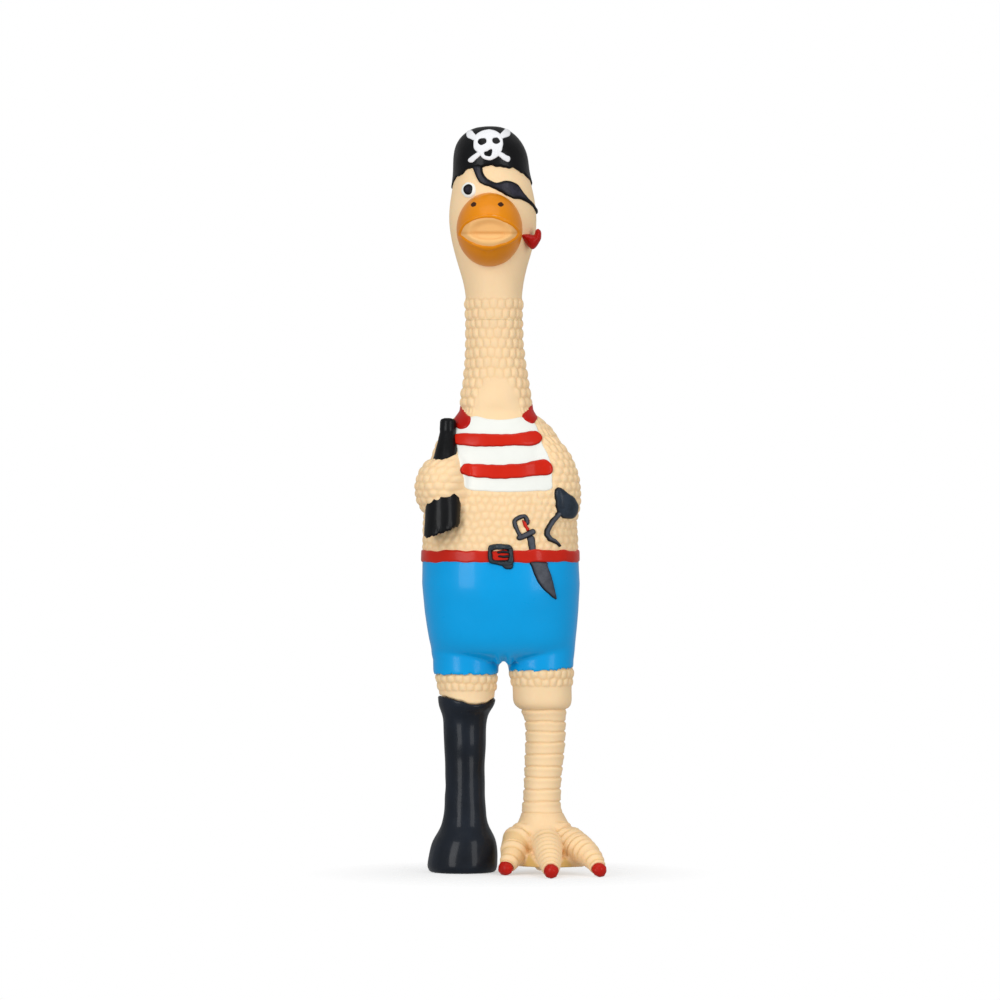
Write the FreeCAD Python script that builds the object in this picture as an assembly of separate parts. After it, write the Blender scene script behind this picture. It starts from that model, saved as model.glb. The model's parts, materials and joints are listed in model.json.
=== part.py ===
import FreeCAD, Part
import functools
import math
import os

V = FreeCAD.Vector

# A hollow moulded pirate chicken that stands on z = 0 and faces -Y. Millimetres.
# Driving dimensions.
AXIS_Y = 11.5           # the body's middle stands this far behind the middle of its footprint
WALL = 2.0              # thickness of the moulded skin
FLEX_GAP = 0.35         # clearance between two skins at a flex line
SHORTS_STEP = 0.4       # how far each painted layer stands proud of the skin
SHIRT_STEP = 0.6
STRIPE_STEP = 1.3
BELT_STEP = 1.5
BLADE_STEP = 1.0
BUCKLE_STEP = 2.8
HAT_STEP = 0.8
BELT_LOW = 166.2        # lower and upper edge of the belt
BELT_HIGH = 172.8
BOOT_TOP = 94.5         # upper edge of the boot
KNEE_LOW = 88.0         # under edge of the bird leg's knee bulge
STUB_LOW = 98.0         # the torso's two short legs run between these heights and widen upwards
STUB_TOP = 136.0
STUB_FLARE = 0.8

# Flex lines: the centre each skin turns about, and the radius of the round cut between the skins.
NECK_PIVOT = (-7.9, 265.0, 23.0)
HEAD_PIVOT = (-8.9, 306.0, 17.5)
PEG_HIP = (-23.6, 93.0, 21.0)
BIRD_HIP = (16.6, 96.5, 21.0)
ANKLE = (16.9, 24.0, 16.5)

# Level sections of the skins: height, middle x, half width, half depth, middle y from the body's axis.
HEAD_AND_NECK = [
    (238.0, -6.6, 24.5, 22.0, 1.0),
    (252.0, -7.8, 18.8, 18.0, 1.0),
    (266.0, -7.9, 16.5, 16.3, 1.0),
    (284.0, -8.6, 14.8, 15.0, 0.5),
    (300.0, -8.9, 14.7, 15.2, 0.0),
    (313.0, -9.0, 15.6, 16.4, 0.0),
    (326.0, -9.4, 18.7, 18.8, 0.0),
    (339.0, -9.3, 22.2, 21.2, 0.0),
    (352.0, -9.5, 23.4, 22.2, 0.0),
    (365.0, -9.7, 21.8, 21.4, 0.5),
    (378.0, -10.4, 19.2, 19.6, 1.0),
    (388.0, -11.0, 16.9, 17.3, 1.0),
    (395.0, -11.4, 12.9, 13.3, 1.0),
    (399.2, -11.5, 5.0, 5.2, 1.0),
]
TORSO = [
    (113.5, -4.0, 24.0, 14.0, 0.0),
    (117.5, -4.2, 34.0, 21.0, 0.0),
    (124.0, -4.5, 38.8, 26.5, 0.0),
    (135.0, -4.8, 40.9, 29.5, -0.5),
    (150.0, -5.1, 41.8, 32.0, -1.5),
    (168.0, -5.4, 41.7, 32.3, -1.5),
    (186.0, -5.6, 41.0, 30.8, -1.0),
    (204.0, -5.9, 39.6, 28.8, 0.0),
    (217.0, -6.1, 37.4, 27.0, 0.5),
    (229.0, -6.4, 33.6, 24.5, 1.0),
    (238.0, -6.7, 28.5, 21.8, 1.0),
    (245.0, -7.2, 22.0, 19.4, 1.0),
    (252.0, -7.8, 18.8, 18.0, 1.0),
    (262.0, -7.9, 17.0, 16.8, 1.0),
]
PEG_THIGH = [(113.0, -23.6, 16.6), (107.0, -23.6, 16.6), (101.0, -23.4, 15.6), (BOOT_TOP, -23.4, 14.8)]
BOOT = [
    (BOOT_TOP, -23.5, 15.4),
    (91.0, -23.7, 14.9),
    (88.0, -24.0, 13.9),
    (84.0, -24.3, 12.3),
    (75.0, -24.4, 11.5),
    (59.0, -24.4, 10.7),
    (43.0, -24.4, 10.8),
    (30.0, -24.4, 11.6),
    (24.0, -24.4, 13.2),
    (18.0, -24.7, 16.4),
    (11.5, -25.2, 18.1),
    (5.0, -25.7, 18.8),
    (2.2, -25.8, 18.6),
    (0.0, -25.8, 16.8),
]
BIRD_THIGH = [
    (115.0, 16.6, 17.0),
    (108.0, 16.6, 17.0),
    (101.0, 16.9, 16.0),
    (95.0, 17.1, 15.8),
    (91.5, 17.2, 15.6),
    (KNEE_LOW, 17.9, 13.3),
]
BIRD_SHANK = [
    (KNEE_LOW, 17.5, 12.6),
    (84.0, 18.3, 11.4),
    (70.0, 18.7, 10.6),
    (49.0, 17.3, 9.9),
    (38.0, 16.9, 10.2),
    (30.0, 16.9, 10.9),
]
PALM = [
    (40.0, 16.9, 10.2, 10.2, 0.0),
    (33.0, 16.9, 10.8, 10.8, 0.0),
    (28.0, 17.4, 12.9, 12.3, -0.6),
    (24.0, 17.5, 14.8, 13.4, -2.0),
    (18.0, 18.0, 16.0, 14.0, -3.0),
    (10.0, 18.6, 15.8, 13.6, -4.0),
    (4.0, 18.8, 12.6, 10.6, -4.0),
]
# Each toe's centreline, x, y from the body's axis, z, and its radius there, root to tip.
TOES = [
    [(8.5, -4.0, 18.6, 9.4), (2.9, -12.0, 15.0, 8.4), (0.8, -19.5, 9.6, 6.3), (-2.0, -25.6, 4.6, 4.3)],
    [(18.5, -6.0, 17.0, 9.0), (19.5, -20.0, 15.0, 8.0), (20.6, -36.0, 9.4, 6.6), (21.3, -50.0, 4.6, 4.5)],
    [(27.0, -5.0, 18.6, 9.5), (35.5, -17.0, 14.0, 8.2), (42.4, -29.0, 10.0, 6.0), (46.4, -38.5, 4.5, 4.2)],
]
HIND_TOE = [(17.6, 2.0, 15.0, 10.0), (18.2, 11.0, 8.2, 8.2), (18.6, 21.0, 3.8, 5.6)]
CLAW_R = 3.7
CLAW_FLAT = 0.3         # a claw's underside is flattened by this much, so that it rests on the floor
CLAW_AHEAD = 1.6        # a claw's middle is this far past its toe's tip
WEB = [(0.5, -12.0), (8.0, -19.5), (19.5, -30.0), (32.0, -23.5), (39.5, -20.0), (27.0, 2.0), (11.0, 2.0)]
WEB_UNDER = 4.0         # the web clears the floor by this much
WEB_FRONT = 6.5         # height of its upper side at its front edge
WEB_BACK = 19.0         # and where it meets the ankle

# Upright sections of the bill, from the face forwards: y from the body's axis, middle x and z, half width
# and half height.
BILL = [
    (-8.0, -11.2, 344.0, 17.2, 19.4),
    (-19.0, -11.2, 344.0, 17.6, 19.8),
    (-28.0, -11.2, 343.8, 16.8, 18.0),
    (-35.5, -11.2, 343.4, 14.2, 13.8),
    (-41.0, -11.2, 343.0, 10.4, 8.8),
    (-44.5, -11.2, 342.8, 4.4, 3.6),
]
BILL_X = -11.2          # middle of the bill
MOUTH_Z = 342.8         # height of the mouth's corners
MOUTH_FRONT = -46.0     # the mouth narrows from here
MOUTH_BACK = -23.0      # to a slit here
LINING = 0.8            # thickness of the mouth's lining

# The bottle's profile, radius over height above its base, the base's middle, and how it leans in degrees.
BOTTLE = [
    (0.0, 0.0), (8.6, 0.0), (9.6, 1.2), (9.6, 30.0), (8.2, 37.0), (6.6, 44.0), (5.2, 51.0),
    (4.1, 57.5), (4.4, 58.5), (4.4, 63.5), (3.8, 64.5), (0.0, 64.5),
]
BOTTLE_BASE = (-36.5, -30.5, 180.5)
BOTTLE_BACK = 15.0
BOTTLE_OUT = 3.0

# Wings: middle, with y from the body's axis, the three half sizes, and tilt in degrees.
LEFT_WING = ((-36.6, -18.0, 205.8), (14.0, 17.5, 17.5), 0.0)
RIGHT_WING = ((18.0, -8.0, 206.0), (19.0, 17.0, 30.0), -8.0)

# Squeaker, in the boot's sole.
SQUEAKER_R = 8.0
SQUEAKER_H = 12.0
SQUEAKER_LIFT = 0.3     # its bottom stands this far above the floor
SOLE = 3.0
REED = (9.0, 3.0, 0.4)  # length, width, thickness
REED_SLOPE_GAP = 1.2    # air under and over the reed


def ring(points):
    """A closed smooth wire through the points."""
    curve = Part.BSplineCurve()
    curve.interpolate(points, PeriodicFlag=True)
    return Part.Wire([curve.toShape()])


def around(count):
    return [2.0 * math.pi * i / count for i in range(count)]


def level_oval(z, cx, rx, ry, dy, squareness=2.0):
    """A level section: an oval, slightly squared where squareness is above 2."""
    power = 2.0 / squareness
    points = []
    for a in around(24):
        c, s = math.cos(a), math.sin(a)
        x = rx * math.copysign(abs(c) ** power, c)
        y = ry * math.copysign(abs(s) ** power, s)
        points.append(V(cx + x, AXIS_Y + dy + y, z))
    return ring(points)


def upright_oval(y, cx, cz, rx, rz):
    return ring([V(cx + rx * math.cos(a), AXIS_Y + y, cz + rz * math.sin(a)) for a in around(16)])


def grown(sections, step):
    """The sections moved outwards by step, with the top and bottom ends moved too."""
    last = len(sections) - 1
    moved = []
    for i, (z, cx, rx, ry, dy) in enumerate(sections):
        lift = step if i == last else 0.0
        moved.append((z + lift, cx, rx + step, ry + step, dy))
    return moved


def lofted(sections, squareness=2.0):
    return Part.makeLoft([level_oval(*s, squareness) for s in sections], True, False)


def round_sections(sections):
    return [(z, cx, r, r, 0.0) for z, cx, r in sections]


def tube(sections, wall=WALL):
    """A round hollow leg section, open at both ends."""
    outer = lofted(round_sections(sections))
    inner = lofted(round_sections([(z, cx, r - wall) for z, cx, r in sections]))
    return outer.cut(inner)


def slab(z_low, z_high, x_low=-90.0, x_high=90.0, y_low=-90.0, y_high=90.0):
    corner = V(x_low, y_low, z_low)
    return Part.makeBox(x_high - x_low, y_high - y_low, z_high - z_low, corner)


def ball(pivot, clearance=0.0):
    x, z, r = pivot
    return Part.makeSphere(r + clearance, V(x, AXIS_Y, z))


def largest(shape):
    return max(shape.Solids, key=lambda s: s.Volume)


def front_prism(outline, smooth=False):
    """Sweeps an outline given in x and z through the front half of the body."""
    points = [V(x, AXIS_Y - 70.0, z) for x, z in outline]
    if smooth:
        wire = ring(points)
    else:
        wire = Part.makePolygon(points + [points[0]])
    return Part.Face(wire).extrude(V(0, 70.0, 0))


def oval_outline(cx, cz, rx, rz, turn=0.0):
    """Points of a tilted oval seen from the front. turn is in degrees."""
    t = math.radians(turn)
    points = []
    for a in around(12):
        u, w = rx * math.cos(a), rz * math.sin(a)
        points.append((cx + u * math.cos(t) - w * math.sin(t), cz + u * math.sin(t) + w * math.cos(t)))
    return points


def stroke_prism(path, width):
    """A round-ended stroke of that width along a path seen from the front."""
    r = width / 2.0
    solids = []
    for x, z in path:
        disc = Part.Face(Part.Wire([Part.makeCircle(r, V(x, AXIS_Y - 70.0, z), V(0, 1, 0))]))
        solids.append(disc.extrude(V(0, 70.0, 0)))
    for (x0, z0), (x1, z1) in zip(path, path[1:]):
        length = math.hypot(x1 - x0, z1 - z0)
        nx, nz = -(z1 - z0) / length * r, (x1 - x0) / length * r
        corners = [(x0 + nx, z0 + nz), (x1 + nx, z1 + nz), (x1 - nx, z1 - nz), (x0 - nx, z0 - nz)]
        solids.append(front_prism(corners))
    return solids[0].fuse(solids[1:]).removeSplitter()


def ellipsoid(centre, radii, tilt=0.0):
    """An ellipsoid tilted by tilt degrees about the front-to-back axis."""
    ball_shape = Part.makeSphere(1.0)
    matrix = FreeCAD.Matrix()
    matrix.scale(V(*radii))
    shape = ball_shape.transformGeometry(matrix)
    shape.rotate(V(0, 0, 0), V(0, 1, 0), tilt)
    shape.translate(V(centre[0], AXIS_Y + centre[1], centre[2]))
    return shape


@functools.lru_cache(maxsize=None)
def torso_layer(step):
    return lofted(grown(TORSO, step), 2.25)


@functools.lru_cache(maxsize=None)
def head_layer(step):
    return lofted(grown(HEAD_AND_NECK, step))


def on_torso(prism, step, *under):
    """A raised patch on the torso's front, resting on everything in under."""
    return largest(prism.common(torso_layer(step)).cut(Part.makeCompound(list(under))))


def hip_stub(sections, step):
    """The short leg of the torso that a thigh hangs from."""
    _, cx, r = sections[1]
    return Part.makeCone(r + step, r + step + STUB_FLARE, STUB_TOP - STUB_LOW, V(cx, AXIS_Y, STUB_LOW))


# ---- head -------------------------------------------------------------------------------------

def brim_prism():
    """Everything above the hat's brim line, which arches over the brow."""
    low = [V(x, -90, z) for x, z in ((-60, 362.0), (-31.0, 367.5), (-10.5, 377.7), (12.4, 369.5), (60, 362.0))]
    arch = Part.Arc(low[1], low[2], low[3]).toShape()
    sides = [
        Part.makeLine(low[0], low[1]),
        arch,
        Part.makeLine(low[3], low[4]),
        Part.makeLine(low[4], V(60, -90, 420)),
        Part.makeLine(V(60, -90, 420), V(-60, -90, 420)),
        Part.makeLine(V(-60, -90, 420), low[0]),
    ]
    return Part.Face(Part.Wire(sides)).extrude(V(0, 180, 0))


def make_head_skin():
    hollow = lofted(grown(HEAD_AND_NECK[:-1], -WALL))
    below = slab(200.0, HEAD_PIVOT[1]).cut(ball(HEAD_PIVOT))
    return largest(head_layer(0.0).cut(hollow).cut(below))


def make_hat():
    return largest(head_layer(HAT_STEP).common(brim_prism()).cut(head_layer(0.0)))


def make_skull_emblem():
    """A generic skull over two crossed bones."""
    skull = front_prism([
        (-19.2, 391.0), (-17.6, 395.6), (-11.4, 398.2), (-5.4, 396.0), (-3.6, 391.0),
        (-5.2, 386.4), (-7.8, 383.2), (-11.2, 382.0), (-14.6, 383.2), (-17.2, 386.0),
    ], True)
    bones = stroke_prism([(-20.8, 395.2), (-2.4, 382.4)], 2.9).fuse(
        stroke_prism([(-2.8, 396.0), (-20.0, 382.2)], 2.9))
    sockets = [
        front_prism(oval_outline(-15.3, 392.1, 2.2, 1.8, 20.0), True),
        front_prism(oval_outline(-7.2, 392.6, 2.0, 1.6, -10.0), True),
        front_prism(oval_outline(-11.9, 385.6, 2.2, 1.7, 35.0), True),
    ]
    plate = skull.fuse(bones).cut(Part.makeCompound(sockets))
    return largest(plate.common(head_layer(HAT_STEP + 0.6)).cut(head_layer(HAT_STEP)))


def make_eye_white():
    prism = front_prism(oval_outline(-23.0, 366.1, 3.8, 4.1), True)
    return largest(prism.common(head_layer(0.6)).cut(head_layer(0.0)))


def make_eye_pupil():
    prism = front_prism(oval_outline(-23.3, 366.4, 2.3, 2.8, -15.0), True)
    return largest(prism.common(head_layer(1.1)).cut(head_layer(0.6)))


def make_eye_patch(hat):
    outline = [
        (-20.5, 379.0), (-15.0, 379.0), (-11.8, 372.4), (-8.4, 370.2), (-5.4, 370.5), (-2.2, 371.0),
        (2.0, 369.7), (5.0, 367.0), (7.0, 364.2), (10.5, 361.5), (15.0, 357.5), (15.0, 353.0),
        (9.0, 359.2), (5.4, 361.0), (1.6, 361.4), (-1.4, 362.8), (-5.0, 365.2), (-10.0, 367.4),
        (-13.8, 368.4), (-17.2, 371.6),
    ]
    patch = front_prism(outline).common(head_layer(1.1)).cut(head_layer(0.0))
    return largest(patch.cut(hat))


def bill_solid():
    return Part.makeLoft([upright_oval(*s) for s in BILL], True, False)


def lens(y, half_width, up, down):
    """The mouth's outline: two arcs that meet at its corners."""
    left = V(BILL_X - half_width, AXIS_Y + y, MOUTH_Z)
    right = V(BILL_X + half_width, AXIS_Y + y, MOUTH_Z)
    top = Part.Arc(left, V(BILL_X, AXIS_Y + y, MOUTH_Z + up), right).toShape()
    bottom = Part.Arc(right, V(BILL_X, AXIS_Y + y, MOUTH_Z - down), left).toShape()
    return Part.Wire([top, bottom])


def mouth_cavity(inset):
    front = lens(MOUTH_FRONT, 15.2 - inset, 9.0 - inset, 7.6 - inset)
    back = lens(MOUTH_BACK + inset, 12.5 - inset, 1.6 - inset, 1.6 - inset)
    return Part.makeLoft([front, back], True, True)


def make_upper_beak():
    upper = bill_solid().cut(mouth_cavity(0.0)).cut(head_layer(0.0))
    return largest(upper.common(slab(MOUTH_Z, 400.0)))


def make_lower_beak():
    lower = bill_solid().cut(mouth_cavity(0.0)).cut(head_layer(0.0))
    return largest(lower.common(slab(300.0, MOUTH_Z)))


def make_mouth_lining():
    lining = mouth_cavity(0.0).cut(mouth_cavity(LINING)).common(bill_solid())
    return largest(lining.cut(head_layer(0.0)))


def make_pipe():
    """The bowl stands on edge beside the cheek, and the stem runs to the mouth's corner."""
    foot = V(12.4, AXIS_Y - 10.0, 333.8)
    along = V(2.6, 0.0, 10.8).normalize()
    profile = [(0.0, 1.6), (2.5, 3.4), (6.0, 4.1), (9.0, 3.9), (11.0, 3.5)]
    wires = [Part.Wire([Part.makeCircle(r, foot + along * d, along)]) for d, r in profile]
    bowl = Part.makeLoft(wires, True, False)
    hollow = Part.makeCylinder(2.3, 6.0, foot + along * 6.5, along)
    stem_end = V(4.0, AXIS_Y - 19.5, 341.6)
    stem_start = foot + along * 6.5
    stem = Part.makeCylinder(1.9, (stem_end - stem_start).Length, stem_start, stem_end - stem_start)
    pipe = bowl.fuse(stem).cut(hollow)
    return largest(pipe.cut(bill_solid()).cut(head_layer(0.0)))


# ---- neck -------------------------------------------------------------------------------------

def make_neck_skin():
    skin = head_layer(0.0).cut(lofted(grown(HEAD_AND_NECK[:-1], -WALL)))
    below = slab(200.0, NECK_PIVOT[1]).cut(ball(NECK_PIVOT))
    above = slab(HEAD_PIVOT[1], 420.0).fuse(ball(HEAD_PIVOT, FLEX_GAP))
    return largest(skin.cut(below).cut(above))


# ---- torso ------------------------------------------------------------------------------------

def make_torso_skin():
    outer = torso_layer(0.0).common(slab(BELT_LOW, 262.0))
    inner = torso_layer(-WALL).common(slab(BELT_LOW - 1.0, 263.0))
    collar = ball(NECK_PIVOT, FLEX_GAP)
    return largest(outer.cut(inner).cut(collar).cut(slab(NECK_PIVOT[1] - 5.0, 300.0)))


def make_shorts():
    outer = torso_layer(SHORTS_STEP).common(slab(110.0, BELT_LOW))
    inner = torso_layer(-WALL).common(slab(110.0 + WALL * 2.5, BELT_LOW + 1.0))
    for leg in (PEG_THIGH, BIRD_THIGH):
        outer = outer.fuse(hip_stub(leg, SHORTS_STEP))
    for leg in (PEG_THIGH, BIRD_THIGH):
        inner = inner.fuse(hip_stub(leg, -WALL))
    shorts = outer.cut(inner)
    return largest(shorts.cut(ball(PEG_HIP, FLEX_GAP)).cut(ball(BIRD_HIP, FLEX_GAP)))


def make_shirt():
    outline = [
        (-29.0, 242.4), (-29.0, 232.0), (-27.7, 221.2), (-23.4, 205.6), (-0.3, 204.1),
        (22.0, 205.4), (22.4, 216.0), (20.5, 223.0), (14.5, 238.5), (9.0, 243.6), (4.9, 244.1),
        (-6.7, 242.8), (-18.5, 244.6), (-22.0, 242.5),
    ]
    return on_torso(front_prism(outline), SHIRT_STEP, torso_layer(0.0))


def make_shirt_stripes():
    upper = [(-31.4, 231.6), (-28.0, 235.2), (-5.6, 235.0), (10.5, 235.6), (14.2, 236.4), (17.0, 232.5),
             (13.2, 228.7), (-5.6, 228.2), (-28.0, 228.7)]
    lower = [(-27.1, 215.3), (-23.4, 218.8), (-5.6, 218.5), (10.5, 219.5), (18.5, 220.8), (21.9, 219.0),
             (22.3, 215.8), (19.1, 212.7), (5.1, 211.3), (-11.0, 210.7), (-22.8, 212.1)]
    under = torso_layer(0.0).fuse(torso_layer(SHIRT_STEP))
    bands = [on_torso(front_prism(o), STRIPE_STEP, under) for o in (upper, lower)]
    return Part.makeCompound(bands)


def make_shirt_straps(shirt):
    left = [(-26.0, 249.0), (-21.6, 243.8), (-22.4, 239.2), (-26.0, 237.2), (-30.5, 240.5), (-30.5, 246.0)]
    right = [(10.9, 250.0), (16.5, 243.4), (12.0, 240.0), (8.0, 241.9), (7.2, 245.2)]
    straps = [on_torso(front_prism(o), STRIPE_STEP, torso_layer(0.0), shirt) for o in (left, right)]
    return Part.makeCompound(straps)


def bottle_solid():
    """A round bottle, cap upwards, that leans out and back."""
    points = [V(r, 0, z) for r, z in BOTTLE]
    face = Part.Face(Part.makePolygon(points + [points[0]]))
    bottle = face.revolve(V(0, 0, 0), V(0, 0, 1), 360)
    bottle.rotate(V(0, 0, 0), V(1, 0, 0), -BOTTLE_BACK)
    bottle.rotate(V(0, 0, 0), V(0, 1, 0), BOTTLE_OUT)
    bottle.translate(V(BOTTLE_BASE[0], AXIS_Y + BOTTLE_BASE[1], BOTTLE_BASE[2]))
    return bottle


def make_left_wing(shirt, stripes):
    wing = ellipsoid(*LEFT_WING).cut(torso_layer(0.0)).cut(bottle_solid())
    return largest(wing.cut(shirt).cut(stripes))


def make_right_wing(shirt, stripes):
    return largest(ellipsoid(*RIGHT_WING).cut(torso_layer(0.0)).cut(shirt).cut(stripes))


def make_bottle(shirt, stripes, straps):
    bottle = bottle_solid().cut(torso_layer(0.0))
    return largest(bottle.cut(shirt).cut(stripes).cut(straps))


def make_hook_cuff(wing):
    cuff = ellipsoid((29.6, -20.5, 198.2), (6.0, 6.5, 9.0), -32.0)
    return largest(cuff.cut(torso_layer(0.0)).cut(wing))


def make_hook(cuff, wing):
    path = [(25.8, 192.8), (21.4, 187.6), (19.4, 183.2), (20.6, 179.8), (26.6, 175.8)]
    hook = stroke_prism(path, 2.9).common(torso_layer(2.6)).cut(torso_layer(0.0))
    return largest(hook.cut(cuff).cut(wing))


def make_dagger_blade(shorts_layer):
    outline = [(9.3, 179.8), (12.8, 180.6), (13.3, 174.0), (15.5, 166.5), (19.2, 166.1), (22.1, 158.2),
               (24.4, 146.7), (20.5, 149.5), (15.9, 153.6), (12.6, 160.0), (10.4, 168.0), (10.5, 174.0)]
    return on_torso(front_prism(outline), BLADE_STEP, torso_layer(0.0), shorts_layer)


def make_dagger_guard(blade):
    """A cross-guard with a square knuckle bow."""
    bow = stroke_prism([(7.4, 189.4), (7.0, 190.8), (1.6, 188.6), (5.0, 180.4)], 2.0)
    cross = stroke_prism([(5.6, 179.6), (11.9, 182.2)], 3.4)
    return on_torso(bow.fuse(cross), 2.4, torso_layer(0.0), blade)


def make_dagger_grip(guard):
    grip = stroke_prism([(7.0, 188.2), (9.6, 183.4)], 2.2)
    return on_torso(grip, 1.8, torso_layer(0.0), guard)


def make_belt(blade):
    ring_slab = slab(BELT_LOW, BELT_HIGH)
    return largest(torso_layer(BELT_STEP).common(ring_slab).cut(torso_layer(0.0)).cut(blade))


def make_belt_buckle(under):
    """A rounded frame with one prong across it."""
    outer = front_prism([
        (-12.3, 166.2), (-12.3, 174.0), (-10.6, 175.9), (0.4, 175.9),
        (2.0, 174.2), (2.0, 166.4), (0.2, 164.4), (-10.4, 164.4),
    ])
    hole = front_prism([
        (-9.8, 167.6), (-9.8, 173.0), (-9.0, 173.8), (-1.2, 173.8),
        (-0.4, 173.0), (-0.4, 167.6), (-1.2, 166.9), (-9.0, 166.9),
    ])
    prong = stroke_prism([(-6.4, 171.0), (0.2, 171.0)], 1.6)
    return on_torso(outer.cut(hole).fuse(prong), BUCKLE_STEP, *under)


def make_belt_tail(under, buckle):
    prism = front_prism([(-5.2, 165.6), (1.6, 165.6), (1.8, 163.0), (0.6, 162.0), (-3.0, 162.6)])
    return on_torso(prism, 2.6, buckle, *under)


# ---- legs -------------------------------------------------------------------------------------

def below_hip(pivot):
    """Removes what of a thigh would reach out of the round flex line above the hip's middle."""
    return slab(pivot[1], 130.0).cut(ball(pivot))


def make_peg_thigh():
    return largest(tube(PEG_THIGH).cut(below_hip(PEG_HIP)))


def make_boot():
    outer = lofted(round_sections(BOOT))
    inner = lofted(round_sections([(z, cx, r - WALL) for z, cx, r in BOOT]))
    inner = inner.cut(slab(-1.0, SOLE))
    hole = Part.makeCylinder(SQUEAKER_R, SOLE + 2.0, V(BOOT[-1][1], AXIS_Y, -1.0))
    return largest(outer.cut(inner).cut(hole))


def make_squeaker_housing():
    """A cup with a vent in its floor."""
    base = V(BOOT[-1][1], AXIS_Y, SQUEAKER_LIFT)
    cup = Part.makeCylinder(SQUEAKER_R, SQUEAKER_H, base)
    room = Part.makeCylinder(SQUEAKER_R - 1.0, SQUEAKER_H - 1.2, base + V(0, 0, 1.2))
    vent = Part.makeCylinder(1.5, 4.0, base - V(0, 0, 1.0))
    return cup.cut(room).cut(vent)


def make_squeaker_cap():
    base = V(BOOT[-1][1], AXIS_Y, SQUEAKER_LIFT + SQUEAKER_H)
    cap = Part.makeCylinder(SQUEAKER_R, 1.2, base)
    vent = Part.makeCylinder(1.5, 4.0, base - V(0, 0, 1.0))
    return cap.cut(vent)


def make_reed_block():
    """The block that grips the reed's fixed end, standing on the cup's floor."""
    x = BOOT[-1][1] - REED[0] / 2.0
    z = SQUEAKER_LIFT + 1.2
    block = Part.makeBox(2.0, 5.0, 5.0, V(x - 2.0, AXIS_Y - 2.5, z))
    return block


def make_squeaker_reed():
    """A thin tongue that flutters in the air that the squeezed body blows out."""
    x = BOOT[-1][1] - REED[0] / 2.0 + 0.2
    z = SQUEAKER_LIFT + 1.2 + 5.0 - REED_SLOPE_GAP
    return Part.makeBox(REED[0], REED[1], REED[2], V(x, AXIS_Y - REED[1] / 2.0, z))


def make_bird_thigh():
    return largest(tube(BIRD_THIGH).cut(below_hip(BIRD_HIP)))


def make_bird_shank():
    below = ball(ANKLE, FLEX_GAP).fuse(slab(0.0, ANKLE[1]))
    return largest(tube(BIRD_SHANK).cut(below))


def toe_solid(path):
    wires = []
    points = [V(x, AXIS_Y + y, z) for x, y, z, _ in path]
    for i, (_, _, _, r) in enumerate(path):
        ahead = points[min(i + 1, len(points) - 1)] - points[max(i - 1, 0)]
        wires.append(Part.Wire([Part.makeCircle(r, points[i], ahead)]))
    return Part.makeLoft(wires, True, False)


def claw_solid(path):
    x, y, _, _ = path[-1]
    claw = Part.makeSphere(CLAW_R, V(x, AXIS_Y + y - CLAW_AHEAD, CLAW_R - CLAW_FLAT))
    return claw.common(slab(0.0, 2.0 * CLAW_R))


def web_solid():
    """The web fills the fan between the toes and slopes down to its front edge."""
    fan = Part.Face(Part.makePolygon([V(x, AXIS_Y + y, WEB_UNDER) for x, y in WEB + WEB[:1]]))
    front = AXIS_Y + min(y for _, y in WEB)
    back = AXIS_Y + max(y for _, y in WEB)
    side = [V(-20.0, front, WEB_FRONT), V(-20.0, back, WEB_BACK), V(-20.0, back, 40.0), V(-20.0, front, 40.0)]
    above = Part.Face(Part.makePolygon(side + side[:1])).extrude(V(80.0, 0, 0))
    return fan.extrude(V(0, 0, 30.0)).cut(above)


def make_claws():
    return Part.makeCompound([claw_solid(path) for path in TOES])


def make_bird_foot(claws):
    foot = lofted(PALM).fuse(web_solid())
    for path in [*TOES, HIND_TOE]:
        foot = foot.fuse(toe_solid(path))
    foot = foot.common(slab(0.0, 60.0))
    above = slab(ANKLE[1], 60.0).cut(ball(ANKLE))
    return largest(foot.cut(above).cut(claws))


def make_all():
    hat = make_hat()
    blade = make_dagger_blade(torso_layer(SHORTS_STEP).common(slab(110.0, BELT_LOW)))
    shirt = make_shirt()
    stripes = make_shirt_stripes()
    straps = make_shirt_straps(shirt)
    belt = make_belt(blade)
    shorts = make_shorts()
    guard = make_dagger_guard(blade)
    right_wing = make_right_wing(shirt, stripes)
    cuff = make_hook_cuff(right_wing)
    under_buckle = [torso_layer(0.0), torso_layer(SHORTS_STEP).common(slab(110.0, BELT_LOW)), belt]
    buckle = make_belt_buckle(under_buckle)
    claws = make_claws()
    return {
        "head_skin": make_head_skin(),
        "hat": hat,
        "skull_emblem": make_skull_emblem(),
        "eye_white": make_eye_white(),
        "eye_pupil": make_eye_pupil(),
        "eye_patch": make_eye_patch(hat),
        "upper_beak": make_upper_beak(),
        "lower_beak": make_lower_beak(),
        "mouth_lining": make_mouth_lining(),
        "pipe": make_pipe(),
        "neck_skin": make_neck_skin(),
        "torso_skin": make_torso_skin(),
        "shirt": shirt,
        "shirt_stripes": stripes,
        "shirt_straps": straps,
        "left_wing": make_left_wing(shirt, stripes),
        "right_wing": right_wing,
        "bottle": make_bottle(shirt, stripes, straps),
        "hook_cuff": cuff,
        "hook": make_hook(cuff, right_wing),
        "dagger_blade": blade,
        "dagger_guard": guard,
        "dagger_grip": make_dagger_grip(guard),
        "belt": belt,
        "belt_buckle": buckle,
        "belt_tail": make_belt_tail(under_buckle, buckle),
        "shorts": shorts,
        "peg_thigh": make_peg_thigh(),
        "boot": make_boot(),
        "squeaker_housing": make_squeaker_housing(),
        "squeaker_cap": make_squeaker_cap(),
        "reed_block": make_reed_block(),
        "squeaker_reed": make_squeaker_reed(),
        "bird_thigh": make_bird_thigh(),
        "bird_shank": make_bird_shank(),
        "bird_foot": make_bird_foot(claws),
        "claws": claws,
    }


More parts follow.
